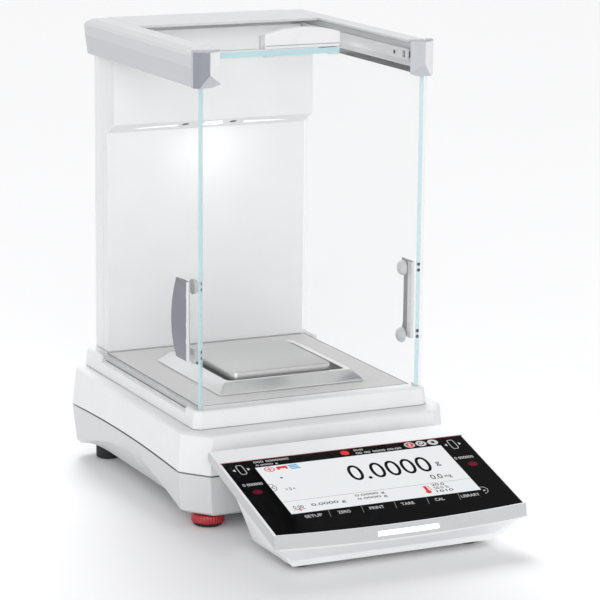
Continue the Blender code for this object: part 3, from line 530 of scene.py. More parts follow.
def arch_tool(side, grow):
    """Solid under one arch: its roof rises outwards from the flat bottom to beyond the side."""
    start = ARCH_PEAK_Y - ARCH_FRONT_REACH
    end = ARCH_PEAK_Y + ARCH_BACK_REACH
    steps = 72
    stations = [start + (end - start) * i / steps for i in range(steps + 1)]
    slope = (ARCH_OUTER_X - ARCH_INNER_X) / (112.0 - ARCH_INNER_X)
    rise = ARCH_TOP_Z - BASE_BOTTOM_Z
    floor = BASE_BOTTOM_Z - 4.0
    ends = [(end, floor), (start, floor)]
    top = BASE_BOTTOM_Z - 1.0 + grow
    rings = []
    for share in (0.0, 0.25, 0.5, 0.75, 1.0):
        x = ARCH_INNER_X + (ARCH_OUTER_X - ARCH_INNER_X) * share
        roof = [(y, top + rise * slope * share * arch_height(y)) for y in stations]
        rings.append(lifted(roof + ends, "X", side * x))
    return loft("tool", rings, *BLACK)


def make_upper_cover():
    rings = [
        base_ring(5.5, BASE_TOP_Z - WALL),
        base_ring(WALL, PARTING_Z + 0.4, PARTING_BOW),
        base_ring(0.0, PARTING_Z + 0.4, PARTING_BOW),
        base_ring(2.5, BASE_TOP_Z - 1.6),
        base_ring(4.2, BASE_TOP_Z),
    ]
    cover = loft("base_upper_cover", rings, "white", "root", "housing_white", 0.7)
    cut(cover, tool_prism(circle(9.0, (0.0, PAN_Y)), "Z", BASE_TOP_Z - 6, BASE_TOP_Z + 4))
    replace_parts(cover, "upper_housing")


# Sockets in the back wall: centre x, half width, low and high z
SOCKETS = {
    "power_inlet": (-71.0, 7.0, 22.0, 34.0),
    "serial_port": (-30.5, 15.5, 21.0, 34.0),
    "host_port": (4.0, 7.6, 22.0, 33.0),
    "network_port": (28.0, 8.2, 20.5, 34.5),
    "device_port": (50.0, 4.8, 24.0, 30.0),
}


def make_lower_shell():
    """Hollow shell with an arch under each side, and holes for the feet, the sockets and a hook."""
    outer = [
        base_ring(0.0, PARTING_Z - 0.6, PARTING_BOW),
        base_ring(2.7, BASE_BOTTOM_Z + 1.8),
        base_ring(4.4, BASE_BOTTOM_Z),
    ]
    shell = loft("base_lower_shell", outer, "base_low", "root", "housing_grey", 0.6)
    inner = [base_ring(6.0, BASE_BOTTOM_Z + WALL), base_ring(WALL, PARTING_Z + 14.0)]
    hollow = loft("tool", inner, *BLACK)
    cut(hollow, arch_tool(-1, 3.2), arch_tool(1, 3.2))
    cut(shell, arch_tool(-1, 0.0), arch_tool(1, 0.0), hollow)
    tools = [tool_prism(circle(10.0, (0.0, PAN_Y)), "Z", 9.0, 16.0)]
    for _, side in SIDES:
        tools.append(tool_prism(circle(4.4, (side * FOOT_X, FOOT_Y), 32), "Z", 9.0, 16.0))
    gap = 0.3
    for x, half, low, high in SOCKETS.values():
        near = (x - half - gap, BACK_Y - 24, low - gap)
        tools.append(tool_block(near, (x + half + gap, BACK_Y + 2, high + gap)))
    cut(shell, *tools)
    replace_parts(shell, "lower_housing")


def make_parting_seal():
    low, high = PARTING_Z - 1.2, PARTING_Z + 1.0
    corners = ((0.9, low), (0.9, high), (2.4, high), (2.4, low))
    rings = [base_ring(inset, level, PARTING_BOW) for inset, level in corners]
    loft("base_parting_seal", rings, "seam", "root", "plastic_black", closed=True)


make_upper_cover()
make_lower_shell()
make_parting_seal()
recast("plinth", "glass_plinth", "white", "housing_white", 0.8)


# ---- sockets


PORT_BACK_Y = BACK_Y - 3.1
BRASS = ("brass", "root", "brass")
ALUMINIUM = ("aluminium", "root", "aluminium")


def port_shell(name, look):
    """The block of one socket, and the socket's place."""
    x, half, low, high = SOCKETS[name]
    near = (x - half, PORT_BACK_Y - 11.0, low)
    shell = block(f"{name}_shell", near, (x + half, PORT_BACK_Y, high), look, "root", "plastic_black", 0.3)
    return shell, x, half, low, high


def port_tool(outline, depth, beyond=2):
    """Cutter that reaches depth into a socket and beyond it to the outside."""
    return tool_prism(outline, "Y", PORT_BACK_Y - depth, PORT_BACK_Y + beyond)


def power_socket():
    shell, x, _, low, high = port_shell("power_inlet", "black")
    centre = (x, (low + high) / 2)
    cut(shell, port_tool(circle(4.4, centre), 8.0))
    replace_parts(shell, "power_inlet")
    pin = circle(1.1, centre, 24)
    prism("power_inlet_pin", pin, "Y", PORT_BACK_Y - 9.0, PORT_BACK_Y - 1.0, *BRASS, 0.3)


def serial_socket():
    """Nine pins in a tapered mouth, with a collar around it and a nut on either side."""
    shell, x, _, low, high = port_shell("serial_port", "black")
    middle = (low + high) / 2
    corners = ((-9.2, 4.2), (9.2, 4.2), (8.0, -4.2), (-8.0, -4.2))
    mouth = [(x + across, middle + up) for across, up in corners]
    cut(shell, port_tool(mouth, 6.0))
    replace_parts(shell, "serial_port")
    grown = [(x + (a - x) * 1.09, middle + (b - middle) * 1.2) for a, b in mouth]
    back = PORT_BACK_Y
    collar = prism("serial_port_collar", grown, "Y", back - 3.0, back + 1.6, *ALUMINIUM, 0.25)
    cut(collar, port_tool(mouth, 4.0, 3))
    pins = []
    for row, count in ((1.4, 5), (-1.4, 4)):
        for i in range(count):
            outline = circle(0.5, (x + (i - (count - 1) / 2) * 2.77, middle + row), 12)
            pins.append(prism("pin", outline, "Y", back - 6.5, back - 0.8, *BRASS))
    joined("serial_port_pins", pins, *BRASS)
    for word, side in SIDES:
        centre = (x + 12.5 * side, middle)
        outline = circle(2.2, centre, 6)
        nut = prism(f"serial_port_{word}_nut", outline, "Y", back - 2.0, back + 1.8, *ALUMINIUM, 0.3)
        cut(nut, port_tool(circle(1.1, centre, 16), 1.0, 3))


def host_socket():
    shell, x, half, low, high = port_shell("host_port", "aluminium")
    back = PORT_BACK_Y
    cut(shell, tool_block((x - half + 0.7, back - 9, low + 2.6), (x + half - 0.7, back + 2, high - 2.6)))
    block("host_port_tongue", (x - 5.6, back - 9, 27.8), (x + 5.6, back - 0.8, 29.6), *BLACK, 0.2)


def network_socket():
    shell, x, _, low, high = port_shell("network_port", "black")
    floor, shoulder, top = low + 1.6, high - 4.4, high - 1.8
    right = [(x + 6.2, floor), (x + 6.2, shoulder), (x + 3.2, shoulder), (x + 3.2, top)]
    left = [(x - 3.2, top), (x - 3.2, shoulder), (x - 6.2, shoulder)]
    cut(shell, port_tool([(x - 6.2, floor), *right, *left], 9))


def device_socket():
    shell, x, _, _, _ = port_shell("device_port", "aluminium")
    top, shoulder, floor = 28.6, 26.6, 25.4
    right = [(x + 3.6, top), (x + 3.6, shoulder), (x + 2.4, floor)]
    cut(shell, port_tool([(x - 3.6, top), *right, (x - 2.4, floor), (x - 3.6, shoulder)], 8))


power_socket()
serial_socket()
host_socket()
network_socket()
device_socket()


# ---- feet


# Profiles as (radius, z)
SOLE_PROFILE = ((9.4, 0.0), (10.6, 0.4), (11.4, 1.4), (11.4, 2.0))
WHEEL_PROFILE = ((11.6, 2.3), (12.9, 3.4), (12.9, 8.2), (12.2, 9.3), (11.2, 9.6), (4.0, 9.6), (4.0, 28.0))
REAR_PROFILE = ((8.4, 0.0), (9.6, 0.6), (10.0, 1.8), (10.0, 10.7))
TERMINAL_PROFILE = ((7.2, 0.0), (8.2, 0.5), (8.5, 1.4), (8.5, TERMINAL_BOTTOM_Z - 0.3))
RIBS = 36
RIB_DEPTH = 0.28


def ribbed_ring(centre, radius, z, count=144):
    """Circle, with fine ribs where the foot's wheel is widest."""
    ring = []
    for i in range(count):
        turn = 2 * math.pi * i / count
        rib = RIB_DEPTH * math.cos(RIBS * turn) if radius > 12.5 else 0.0
        reach = radius - RIB_DEPTH + rib
        ring.append((centre[0] + reach * math.cos(turn), centre[1] + reach * math.sin(turn), z))
    return ring


def rubber_pad(name, profile, centre, body, node):
    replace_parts(turned(name, profile, centre, "rubber", body, "rubber_black"), node)


for word, side in SIDES:
    centre = (side * FOOT_X, FOOT_Y)
    rubber_pad(f"{word}_foot_sole", SOLE_PROFILE, centre, f"{word}_foot", f"{word}_foot_pad")
    rings = [ribbed_ring(centre, radius, z) for radius, z in WHEEL_PROFILE]
    wheel = loft(f"{word}_foot_knob", rings, "red", f"{word}_wheel", "foot_red", angle=40.0)
    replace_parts(wheel, f"{word}_foot_wheel")
    rear = (side * FOOT_X, REAR_FOOT_Y)
    rubber_pad(f"{word}_rear_foot_pad", REAR_PROFILE, rear, "root", f"{word}_rear_foot")
    under = (side * TERMINAL_FOOT[0], TERMINAL_FOOT[1])
    rubber_pad(f"terminal_{word}_foot_pad", TERMINAL_PROFILE, under, "terminal", f"terminal_{word}_foot")

recast("weigh_below_cover", "weigh_below_flap", "black", "plastic_black", 0.4)
recast("terminal_bracket", "terminal_arm", "dark_steel", "dark_steel", 0.4)


# ---- weighing place


def rounded_square(half, radius, steps=8):
    outline = []
    for quarter, (sx, sy) in enumerate(((1, 1), (-1, 1), (-1, -1), (1, -1))):
        for step in range(steps + 1):
            turn = math.pi / 2 * (quarter + step / steps)
            x = sx * (half - radius) + radius * math.cos(turn)
            y = PAN_Y + sy * (half - radius) + radius * math.sin(turn)
            outline.append((x, y))
    return outline


recast("floor_plate", "chamber_floor", "steel", "stainless", 0.35)
plate_low, plate_high = ([value / MM for value in corner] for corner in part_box("floor_plate"))


def plate_frame(out, level):
    """Outline that lies out beyond the floor plate on every side."""
    xs = (plate_low[0] - out, plate_high[0] + out)
    ys = (plate_low[1] - out, plate_high[1] + out)
    return [(xs[0], ys[0], level), (xs[1], ys[0], level), (xs[1], ys[1], level), (xs[0], ys[1], level)]


# Painted shade: a dark frame in the gap around the floor plate, where shade falls.
gap_shade_levels = (PLINTH_TOP_Z - 0.4, PLINTH_TOP_Z + 0.05)
gap_shade_rings = [plate_frame(0.03, gap_shade_levels[0]), plate_frame(0.03, gap_shade_levels[1])]
gap_shade_rings += [plate_frame(0.65, gap_shade_levels[1]), plate_frame(0.65, gap_shade_levels[0])]
loft("floor_plate_gap_shade", gap_shade_rings, "seam", "root", "plastic_black", closed=True)

# Lines along the door track: name, look, inner and outer x, height. The dark line is painted shade in the gap
# under the door glass.
TRACKS = (("line", "track", 94.3, 95.8, 0.6), ("lip", "cap_light", 96.0, 97.2, 0.9))
for word, side in SIDES:
    for part, look, near, far, height in TRACKS:
        low = (near, plate_low[1] + 5.4, LEDGE_Z + 0.02)
        high = (far, plate_high[1] - 6.4, LEDGE_Z + height)
        side_block(f"{word}_track_{part}", side, low, high, look, "root", "rubber_black")

ring_foot = PLINTH_TOP_Z + 0.3


def squares(profile):
    """Rounded squares around the pan, from (half width, corner radius, z)."""
    return [lifted(rounded_square(half, radius), "Z", z) for half, radius, z in profile]


RING_PROFILE = (
    (63.7, 1.6, ring_foot),
    (63.7, 1.6, ring_foot + 0.8),
    (56.2, 1.4, RING_TOP_Z - 0.5),
    (55.4, 1.3, RING_TOP_Z),
    (52.0, 5.0, RING_TOP_Z),
    (51.5, 5.0, RING_TOP_Z - 0.4),
    (51.5, 5.0, RING_TOP_Z - 1.2),
    (55.2, 5.0, RING_TOP_Z - 1.2),
    (62.1, 1.4, ring_foot),
)
rings = squares(RING_PROFILE)
ring = loft("draft_ring_frame", rings, "ring", "ring", "stainless", 0.5, closed=True, angle=20.0)
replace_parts(ring, "draft_ring")
# Painted shade: a dark steel floor inside the ring, under the pan, stands in for the shade there.
rings = squares(((51.0, 5.0, ring_foot), (51.0, 5.0, ring_foot + 0.6)))
shaded_well = loft("draft_ring_shaded_well", rings, "dark_steel", "ring", "stainless")
cut(shaded_well, tool_prism(circle(7.0, (0.0, PAN_Y)), "Z", ring_foot - 2, ring_foot + 3))

PAN_CORNER = 5.0
PAN_PROFILE = ((1.2, 1.4), (1.2, 5.7), (0.0, 5.7), (0.0, 0.9), (0.25, 0.3), (0.9, 0.0))
rings = squares([(PAN_HALF - inset, PAN_CORNER, PAN_TOP_Z - drop) for inset, drop in PAN_PROFILE])
pan = loft("pan_plate", rings, "satin", "pan", "stainless", angle=50.0)
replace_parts(pan, "weighing_pan")
recast("pan_support", "pan_stem", "aluminium", "aluminium", 0.3)


# ---- column


recast("column_shell", "column_front", "wall", "housing_white", 0.8)
recast("column_back_cover", "column_rear_panel", "white", "housing_white", 0.5)
recast("column_head", "column_top_bridge", "wall", "housing_white", 0.6)
recast("column_cap", "column_top_cap", "rail", "housing_white", 0.3)
seal_low = (-79.4, PANE_Y + 163.1, TOP_GLASS_Z + TOP_GLASS_THICK + 0.4)
block("top_rear_seal", seal_low, (79.4, PANE_Y + 164.6, 363.9), "rail", "root", "housing_white")


def on_ledge(x, along, depth):
    run = LOWER_WALL_Y - UPPER_WALL_Y
    drop = LEDGE_BOTTOM_Z - LEDGE_TOP_Z
    length = math.hypot(run, drop)
    mid_y = (LOWER_WALL_Y + UPPER_WALL_Y) / 2
    mid_z = (LEDGE_BOTTOM_Z + LEDGE_TOP_Z) / 2
    y = mid_y + (run * along - drop * depth) / length
    z = mid_z + (drop * along + run * depth) / length
    return (x, y, z)


def crescent(half, low, rise, near=-1.0, far=1.0, steps=40):
    """Strip of the light lens between two shares of its half width."""
    bow = []
    for i in range(steps + 1):
        share = far + (near - far) * i / steps
        bow.append((half * share, low - 1.0 - (rise - 1.0) * (1 - share * share)))
    return [(half * near, low), (half * far, low)] + bow


def ledge_piece(name, outline, near, far, look, slot, soft=0.0):
    rings = [[on_ledge(x, along, depth) for x, along in outline] for depth in (near, far)]
    return loft(name, rings, look, "root", slot, soft)


IONIZERS = (("left", -23.0), ("right", 20.0))
lens = ledge_piece("light_cover", crescent(74.0, 5.0, 10.5), 0.2, 2.2, "wall", "lens_clear", 0.2)
tools = []
for _, x in IONIZERS:
    rings = [[on_ledge(a, b, depth) for a, b in circle(3.2, (x, 0.0), 24)] for depth in (-3.0, 6.0)]
    tools.append(loft("tool", rings, *BLACK))
cut(lens, *tools)
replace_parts(lens, "light_lens")
for word, near, far in (("left", -1.0, -0.42), ("right", 0.42, 1.0)):
    strip = crescent(71.0, 3.0, 5.0, near, far)
    ledge_piece(f"{word}_light_strip", strip, 0.05, 0.6, "lens", "lens_clear")
window = [(-7.0, 3.0), (11.0, 3.0), (9.0, -3.4), (-5.0, -3.4)]
ledge_piece("light_window", window, 0.0, 0.6, "lamp", "lens_clear")
for word, x in IONIZERS:
    tube = circle(2.9, (x, 0.0), 32)
    nozzle = ledge_piece(f"{word}_ionizer_nozzle", tube, 0.6, 9.0, "black", "plastic_black")
    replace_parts(nozzle, f"{word}_ionizer")


# ---- glass


def pane_picker(axis, clear_edge):
    """Main faces are clear, the edge faces that clear_edge names are faint, the others show their tint."""

    def pick(normal, _):
        if abs(normal[axis]) > 0.9:
            return 0
        return 2 if clear_edge(normal) else 1

    return pick


def right_or_level(normal):
    return normal[0] > 0.5 or abs(normal[2]) > 0.5


def not_front(normal):
    return normal[1] > -0.5


def every_edge(_):
    return True


GLASS = ["pane", "pane_edge", "pane_faint"]
TOP_GLASS = ["pane_top", "pane_edge", "pane_faint"]
recast("front_pane", "front_glass", GLASS, "glass", 0.35, pane_picker(1, right_or_level), segments=2)
recast("top_door_glass", "top_glass", TOP_GLASS, "glass", 0.35, pane_picker(2, every_edge), segments=2)
band_low = (-80.0, PANE_Y + 1.7, TOP_GLASS_Z + 0.1)
band_high = (GRIP_X + GRIP_HALF - 1.0, PANE_Y + 1.95, TOP_GLASS_Z + TOP_GLASS_THICK - 0.1)
block("top_glass_tint", band_low, band_high, "pane_edge", "top_door", "glass")
for word, _ in SIDES:
    recast(f"{word}_door_glass", f"{word}_glass", GLASS, "glass", 0.35, pane_picker(0, not_front), segments=2)


# ---- rails and door parts


SHOULDER_Z = 352.8
SLANT_Z = 361.0


def rail_ring(side, y, slant):
    """Cross-section of a rail. slant draws it forward from y, above and below its slant line."""
    outline = [
        (RAIL_OUTER_X - 1.0, RAIL_BOTTOM_Z),
        (RAIL_OUTER_X, SHOULDER_Z),
        (RAIL_OUTER_X, 361.2),
        (99.6, 363.4),
        (96.2, 365.2),
        (94.6, RAIL_TOP_Z),
        (RAIL_INNER_X, RAIL_TOP_Z),
        (RAIL_INNER_X, 364.2),
        (84.6, 364.2),
        (84.6, TOP_GLASS_Z - 0.3),
        (RAIL_INNER_X, TOP_GLASS_Z - 0.3),
        (RAIL_INNER_X, 350.0),
        (RAIL_INNER_X + 2.0, 350.0),
        (RAIL_INNER_X + 2.0, 356.7),
        (RAIL_OUTER_X - 2.6, 356.7),
        (RAIL_OUTER_X - 2.6, RAIL_BOTTOM_Z),
    ]
    ring = []
    for x, z in outline:
        forward = slant * (SLANT_Z - z) if z < SLANT_Z else 3.0 * slant * (z - SLANT_Z)
        ring.append((side * x, y - forward, z))
    return ring


def rail_picker(normal, centre):
    """Painted shade: the upper side face, the darker lower side face, and the rest of a rail in its plain
    lacquer.
    """
    if abs(normal[0]) > 0.9 and abs(centre[0]) > 99.0:
        return 1 if centre[2] > SHOULDER_Z else 2
    return 0


# Plan of an end cap, as (x, distance behind the pane's face). Its prow leans out over the pane.
CAP_PLAN = [
    (101.3, 4.9),
    (101.3, 1.6),
    (97.5, -2.2),
    (90.5, -6.2),
    (80.2, -0.9),
    (80.2, -0.3),
    (95.8, -0.3),
    (95.8, 4.9),
]
# Three points of the slanted face that closes a cap below
CAP_UNDERSIDE = ((90.5, -6.2, 348.0), (80.2, -0.9, 341.0), (97.5, -2.2, 338.0))


# Painted reflection: picks the dark, mid, white or side tone for each facet of an end cap by the way it
# faces. On the right cap, the left-facing front faces take the mid tone in place of the dark one.
def cap_picker(normal, centre):
    if normal[2] > 0.3:
        return 1
    if abs(normal[0]) > 0.9:
        return 3
    if normal[1] < -0.2 and normal[2] < -0.2:
        return 1
    if normal[1] < -0.2:
        if centre[0] > 0:
            return 1 if normal[0] < 0 else 2
        return 0 if normal[0] < 0 else 2
    return 1


CAP_LOOKS = ["cap_dark_reflection", "cap_mid_reflection", "cap_light", "cap_side_reflection"]


def make_cap(word, side):
    rings = []
    for level, pull in ((RAIL_BOTTOM_Z, 0.0), (RAIL_TOP_Z - 1.2, 0.0), (RAIL_TOP_Z + 0.4, 1.2)):
        ring = []
        for x, y in CAP_PLAN:
            lean = pull if y < 0.0 else 0.0
            reach = x - 0.4 * pull if x > 97.0 else x
            ring.append((side * reach, PANE_Y + min(y + lean, max(y, -0.3)), level))
        rings.append(ring)
    cap = loft(f"{word}_rail_cap", rings, CAP_LOOKS, "root", "cap_grey", 0.35, angle=20.0)
    points = [Vector((side * x, PANE_Y + y, z)) * MM for x, y, z in CAP_UNDERSIDE]
    across = (points[1] - points[0]).cross(points[2] - points[0]).normalized()
    if across.z > 0:
        across = -across
    work = bmesh.new()
    work.from_mesh(cap.data)
    geometry = work.verts[:] + work.edges[:] + work.faces[:]
    made = bmesh.ops.bisect_plane(
        work, geom=geometry, plane_co=points[0], plane_no=across, clear_outer=True
    )
    rim = [e for e in made["geom_cut"] if isinstance(e, bmesh.types.BMEdge)]
    bmesh.ops.contextual_create(work, geom=rim)
    bmesh.ops.recalc_face_normals(work, faces=work.faces)
    work.to_mesh(cap.data)
    work.free()
    paint(cap, cap_picker)
    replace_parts(cap, f"{word}_end_cap")


def carriage_picker(normal, centre):
    """Painted shade: the carriage is black where it lies in shade, and only the tips of the rack's teeth and
    the clamp's outside keep the brighter rack steel.
    """
    if abs(centre[0]) < 88.7 or abs(normal[2]) > 0.9 and abs(centre[0]) < 90.15:
        return 1
    return 0


def handle_picker(normal, centre):
    """White along the pull's front, darker at its upper end, slate elsewhere."""
    if centre[2] > 181.5 and abs(centre[0]) > 96.5 and normal[1] > -0.9:
        return 1
    return 2 if normal[1] < -0.9 else 0


RAIL_FRONT_Y = PANE_Y + 5.1
RAIL_SLANT = 0.22
RACK_X = (87.9, 88.3)
RACK_Y = (PANE_Y + 6.0, PANE_Y + 160.0)
# Strips that show through the door glass above its rack: name, look, low and high z, slot. The black shade
# strip is painted shade below the panel.
RACK_STRIPS = (
    ("panel", "rail", 343.8, 350.1, "housing_white"),
    ("shade", "black", 342.0, 343.7, "plastic_black"),
)
SLOT_Z = (351.5, 357.0)
SCREW_Z = 354.2
KNOB_Y = PANE_Y + 26.0
KNOB_PROFILE = ((0.0, 6.0), (1.5, 6.0), (3.6, 4.9), (4.8, 2.8), (5.1, 0.8))
# Knobs of a handle: name, z, and the height of the stops' reference above it
KNOBS = (("lower", 126.5, 4.2), ("upper", 181.3, 3.1))


def make_rail(word, side):
    run = RAIL_BACK_Y - PANE_Y - 5.1
    rings = [rail_ring(side, RAIL_FRONT_Y + run * i / 8, RAIL_SLANT * (i // 8)) for i in range(9)]
    looks = ["rail", "rail_upper_side_shade", "rail_lower_side_shade"]
    rail = loft(f"{word}_top_rail", rings, looks, "root", "housing_white", 0.3, angle=20.0)
    paint(rail, rail_picker)
    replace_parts(rail, f"{word}_rail")


def rail_fittings(word, side):
    """The strips over the rack, and the screw and two slots in the rail's inner face."""
    for part, look, low, high, slot in RACK_STRIPS:
        near = (RACK_X[0], RACK_Y[0], low)
        side_block(f"{word}_rack_{part}", side, near, (RACK_X[1], RACK_Y[1], high), look, "root", slot)
    skin = (RAIL_INNER_X - 0.2, RAIL_INNER_X + 0.5)
    head = circle(1.7, (PANE_Y + 26.0, SCREW_Z), 24)
    prism(f"{word}_rail_screw", head, "X", *sorted(side * x for x in skin), *BLACK)
    for i, y in enumerate((8.0, 10.6)):
        low = (skin[0], PANE_Y + y, SLOT_Z[0])
        side_block(f"{word}_rail_slot_{i + 1}", side, low, (skin[1], PANE_Y + y + 1.0, SLOT_Z[1]), *BLACK)


def pull_fittings(word, side):
    """The knobs inside a door, the stops beside them, and the pad under the handle."""
    door = f"{word}_door"
    for level, z, to_stop in KNOBS:
        rings = []
        for depth, radius in KNOB_PROFILE:
            across = side * (DOOR_INNER_X - 0.1 - depth)
            rings.append(lifted(circle(radius, (KNOB_Y, z), 40), "X", across))
        loft(f"{word}_pull_{level}_knob", rings, "knob", door, "housing_grey", angle=50.0)
        for i, up in enumerate((-1.3, 3.4)):
            dot = circle(1.3, (side * 93.6, z + to_stop + up), 24)
            name = f"{word}_door_{level}_stop_{i + 1}"
            prism(name, dot, "Y", PANE_Y + 4.7, PANE_Y + 5.05, "black", door, "rubber_black")
    low = (DOOR_OUTER_X + 0.05, PANE_Y + 20.2, HANDLE_BOTTOM_Z + 0.4)
    high = (DOOR_OUTER_X + 0.25, PANE_Y + 26.4, HANDLE_TOP_Z - 0.4)
    side_block(f"{word}_pull_pad", side, low, high, "grip", door, "housing_grey")


CARRIAGE_LOOKS = ["black", "rack"]
HANDLE_LOOKS = ["handle", "handle_dark", "grip"]
for word, side in SIDES:
    make_rail(word, side)
    make_cap(word, side)
    carriage = (f"{word}_door_carriage", f"{word}_carriage")
    recast(*carriage, CARRIAGE_LOOKS, "dark_steel", 0.12, carriage_picker, segments=1)
    handle = (f"{word}_door_handle", f"{word}_door_pull")
    recast(*handle, HANDLE_LOOKS, "handle_grey", 0.7, handle_picker, angle=40.0)
    rail_fittings(word, side)
    pull_fittings(word, side)


# ---- top grip


GRIP_FOOT_Z = TOP_GLASS_Z + TOP_GLASS_THICK + 0.3
GRIP = ("top_door", "grip_white")


def make_grip():
    """Thin arched grip on the top glass, scooped out behind."""
    arch = [(GRIP_X - GRIP_HALF, GRIP_FOOT_Z), (GRIP_X + GRIP_HALF, GRIP_FOOT_Z)]
    for i in range(33):
        along = 1 - i / 16
        height = GRIP_END_Z + (GRIP_TOP_Z - GRIP_END_Z) * (1 - along * along)
        arch.append((GRIP_X + GRIP_HALF * along, height))
    grip = prism("top_grip", arch, "Y", PANE_Y + 2.7, PANE_Y + 9.3, "grip", *GRIP, 0.8)
    wide = GRIP_HALF + 5
    low = GRIP_FOOT_Z + 2.6
    scoop = [(GRIP_X - wide, low), (GRIP_X + wide, low), (GRIP_X + wide, 400.0), (GRIP_X - wide, 400.0)]
    cut(grip, tool_prism(scoop, "Y", PANE_Y + 5.4, PANE_Y + 12.0))
    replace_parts(grip, "top_door_handle")


def grip_fittings():
    """The painted shade line in the crease at the grip's foot, the clip at its left end and the two screws
    under it.
    """
    low = (GRIP_X - GRIP_HALF + 0.6, PANE_Y + 2.6, GRIP_FOOT_Z + 2.3)
    high = (GRIP_X + GRIP_HALF - 0.6, PANE_Y + 2.75, GRIP_FOOT_Z + 2.9)
    block("top_grip_crease_shade", low, high, "rack", *GRIP)
    low = (GRIP_X - GRIP_HALF - 3.0, PANE_Y + 4.2, GRIP_FOOT_Z)
    high = (GRIP_X - GRIP_HALF - 0.7, PANE_Y + 7.4, GRIP_FOOT_Z + 11.0)
    block("top_grip_clip", low, high, "knob", *GRIP, 0.5)
    for word, x in (("left", -37.0), ("right", 17.5)):
        head = circle(4.2, (x, PANE_Y + 7.6), 32)
        name = f"top_grip_{word}_screw"
        prism(name, head, "Z", TOP_GLASS_Z - 1.6, TOP_GLASS_Z, "cap_light", *GRIP, 0.4)


make_grip()
grip_fittings()


# ---- terminal


def cover_picker(normal, _):
    """Painted light: the upward face around the touch glass is painted lighter, and the cover's front and
    sides darker, for how light falls on them.
    """
    return 1 if normal[2] > 0.6 else 0


recast("terminal_upper_shell", "terminal_cover", ["shell", "shell_top_painted_light"], "housing_white", 0.8, cover_picker)
recast("terminal_lower_shell", "terminal_tray", "grey", "housing_grey", 0.5)
recast("terminal_touch_glass", "terminal_glass", "screen", "screen_black", 0.3)
recast("terminal_display", "display_module", "black", "screen_black", 0.2)
recast("terminal_light_bar", "terminal_lamp", "bar", "lens_clear", 0.3)

SIN = math.sin(TILT)
COS = math.cos(TILT)


def on_glass(x, along, lift):
    y = GLASS_REAR_Y - along * COS - lift * SIN
    z = GLASS_REAR_Z - along * SIN + lift * COS
    return Vector((x, y, z))


MARK_LIFT = 0.08
MARK_THICK = 0.05
TEXT_SIZE = 10.0
# What is drawn in each look, as (points, faces, lift)
marks = {}


def patch(look, outline, lift=MARK_LIFT):
    """A thin shape lying on the touch glass, from (x, along) points."""
    marks.setdefault(look, []).append((outline, [tuple(range(len(outline)))], lift))


def bar_patch(look, x0, x1, s0, s1, lift=MARK_LIFT, slant=0.0):
    patch(look, [(x0, s0), (x1, s0), (x1 + slant, s1), (x0 + slant, s1)], lift)


def round_patch(look, x, s, rx, rs, lift=MARK_LIFT, count=28):
    turn = 2 * math.pi / count
    outline = [(x + rx * math.cos(i * turn), s - rs * math.sin(i * turn)) for i in range(count)]
    patch(look, outline, lift)


def line_patch(look, points, width, lift=MARK_LIFT):
    """An open stroke of even width through (x, along) points."""
    left, right = [], []
    for i, point in enumerate(points):
        before = Vector(points[max(0, i - 1)])
        after = Vector(points[min(len(points) - 1, i + 1)])
        across = (after - before).normalized().orthogonal() * width / 2
        left.append(tuple(Vector(point) + across))
        right.append(tuple(Vector(point) - across))
    patch(look, left + right[::-1], lift)


def fitted(look, text, x0, x1, s0, s1, shear=0.0, weight=0.0):
    """Generic characters stretched to fill a box on the touch glass."""
    curve = bpy.data.curves.new("text", "FONT")
    curve.body = text
    curve.size = TEXT_SIZE
    curve.shear = shear
    curve.offset = weight
    holder = add_object("text", curve)
    bpy.context.view_layer.update()
    mesh = evaluated(holder)
    bpy.data.objects.remove(holder, do_unlink=True)
    placed = [(v.co.x, -v.co.y) for v in mesh.vertices]
    faces = [tuple(p.vertices) for p in mesh.polygons]
    bpy.data.meshes.remove(mesh)
    xs = [x for x, _ in placed]
    ss = [v for _, v in placed]
    across = (x1 - x0) / (max(xs) - min(xs))
    along = (s1 - s0) / (max(ss) - min(ss))
    moved = [(x0 + (x - min(xs)) * across, s0 + (v - min(ss)) * along) for x, v in placed]
    marks.setdefault(look, []).append((moved, faces, MARK_LIFT))


def finish_marks():
    """Turns all the shapes of one look into one piece of closed slabs."""
    move = (on_glass(0, 0, MARK_THICK) - on_glass(0, 0, 0)) * MM
    for look, shapes in marks.items():
        work = bmesh.new()
        for placed, faces, lift in shapes:
            low = [work.verts.new(on_glass(x, s, lift) * MM) for x, s in placed]
            made = [work.faces.new([low[i] for i in face]) for face in faces]
            grown = bmesh.ops.extrude_face_region(work, geom=made)
            top = [v for v in grown["geom"] if isinstance(v, bmesh.types.BMVert)]
            bmesh.ops.translate(work, verts=top, vec=move)
        bmesh.ops.recalc_face_normals(work, faces=work.faces)
        mesh = bpy.data.meshes.new(f"display_{look}")
        work.to_mesh(mesh)
        work.free()
        add_piece(f"display_{look}", mesh, [look], "terminal", "screen_black")


# The page, its rule and the glass's rear line
bar_patch("page", -79.0, 79.0, 11.3, 78.6, 0.02)
bar_patch("ink_grey", -79.0, 79.0, 61.6, 61.9)
bar_patch("accent", -103.4, 103.4, 0.3, 0.9)

# The reading and its second value
fitted("ink", "0.0000", -11.7, 57.6, 24.0, 45.4, shear=0.1)
fitted("ink", "g", 61.8, 65.6, 33.6, 39.8, weight=0.02)
fitted("ink", "0.0", 48.8, 58.4, 50.4, 56.8, weight=0.03)
fitted("ink", "mg", 60.2, 66.0, 53.2, 57.4, weight=0.03)

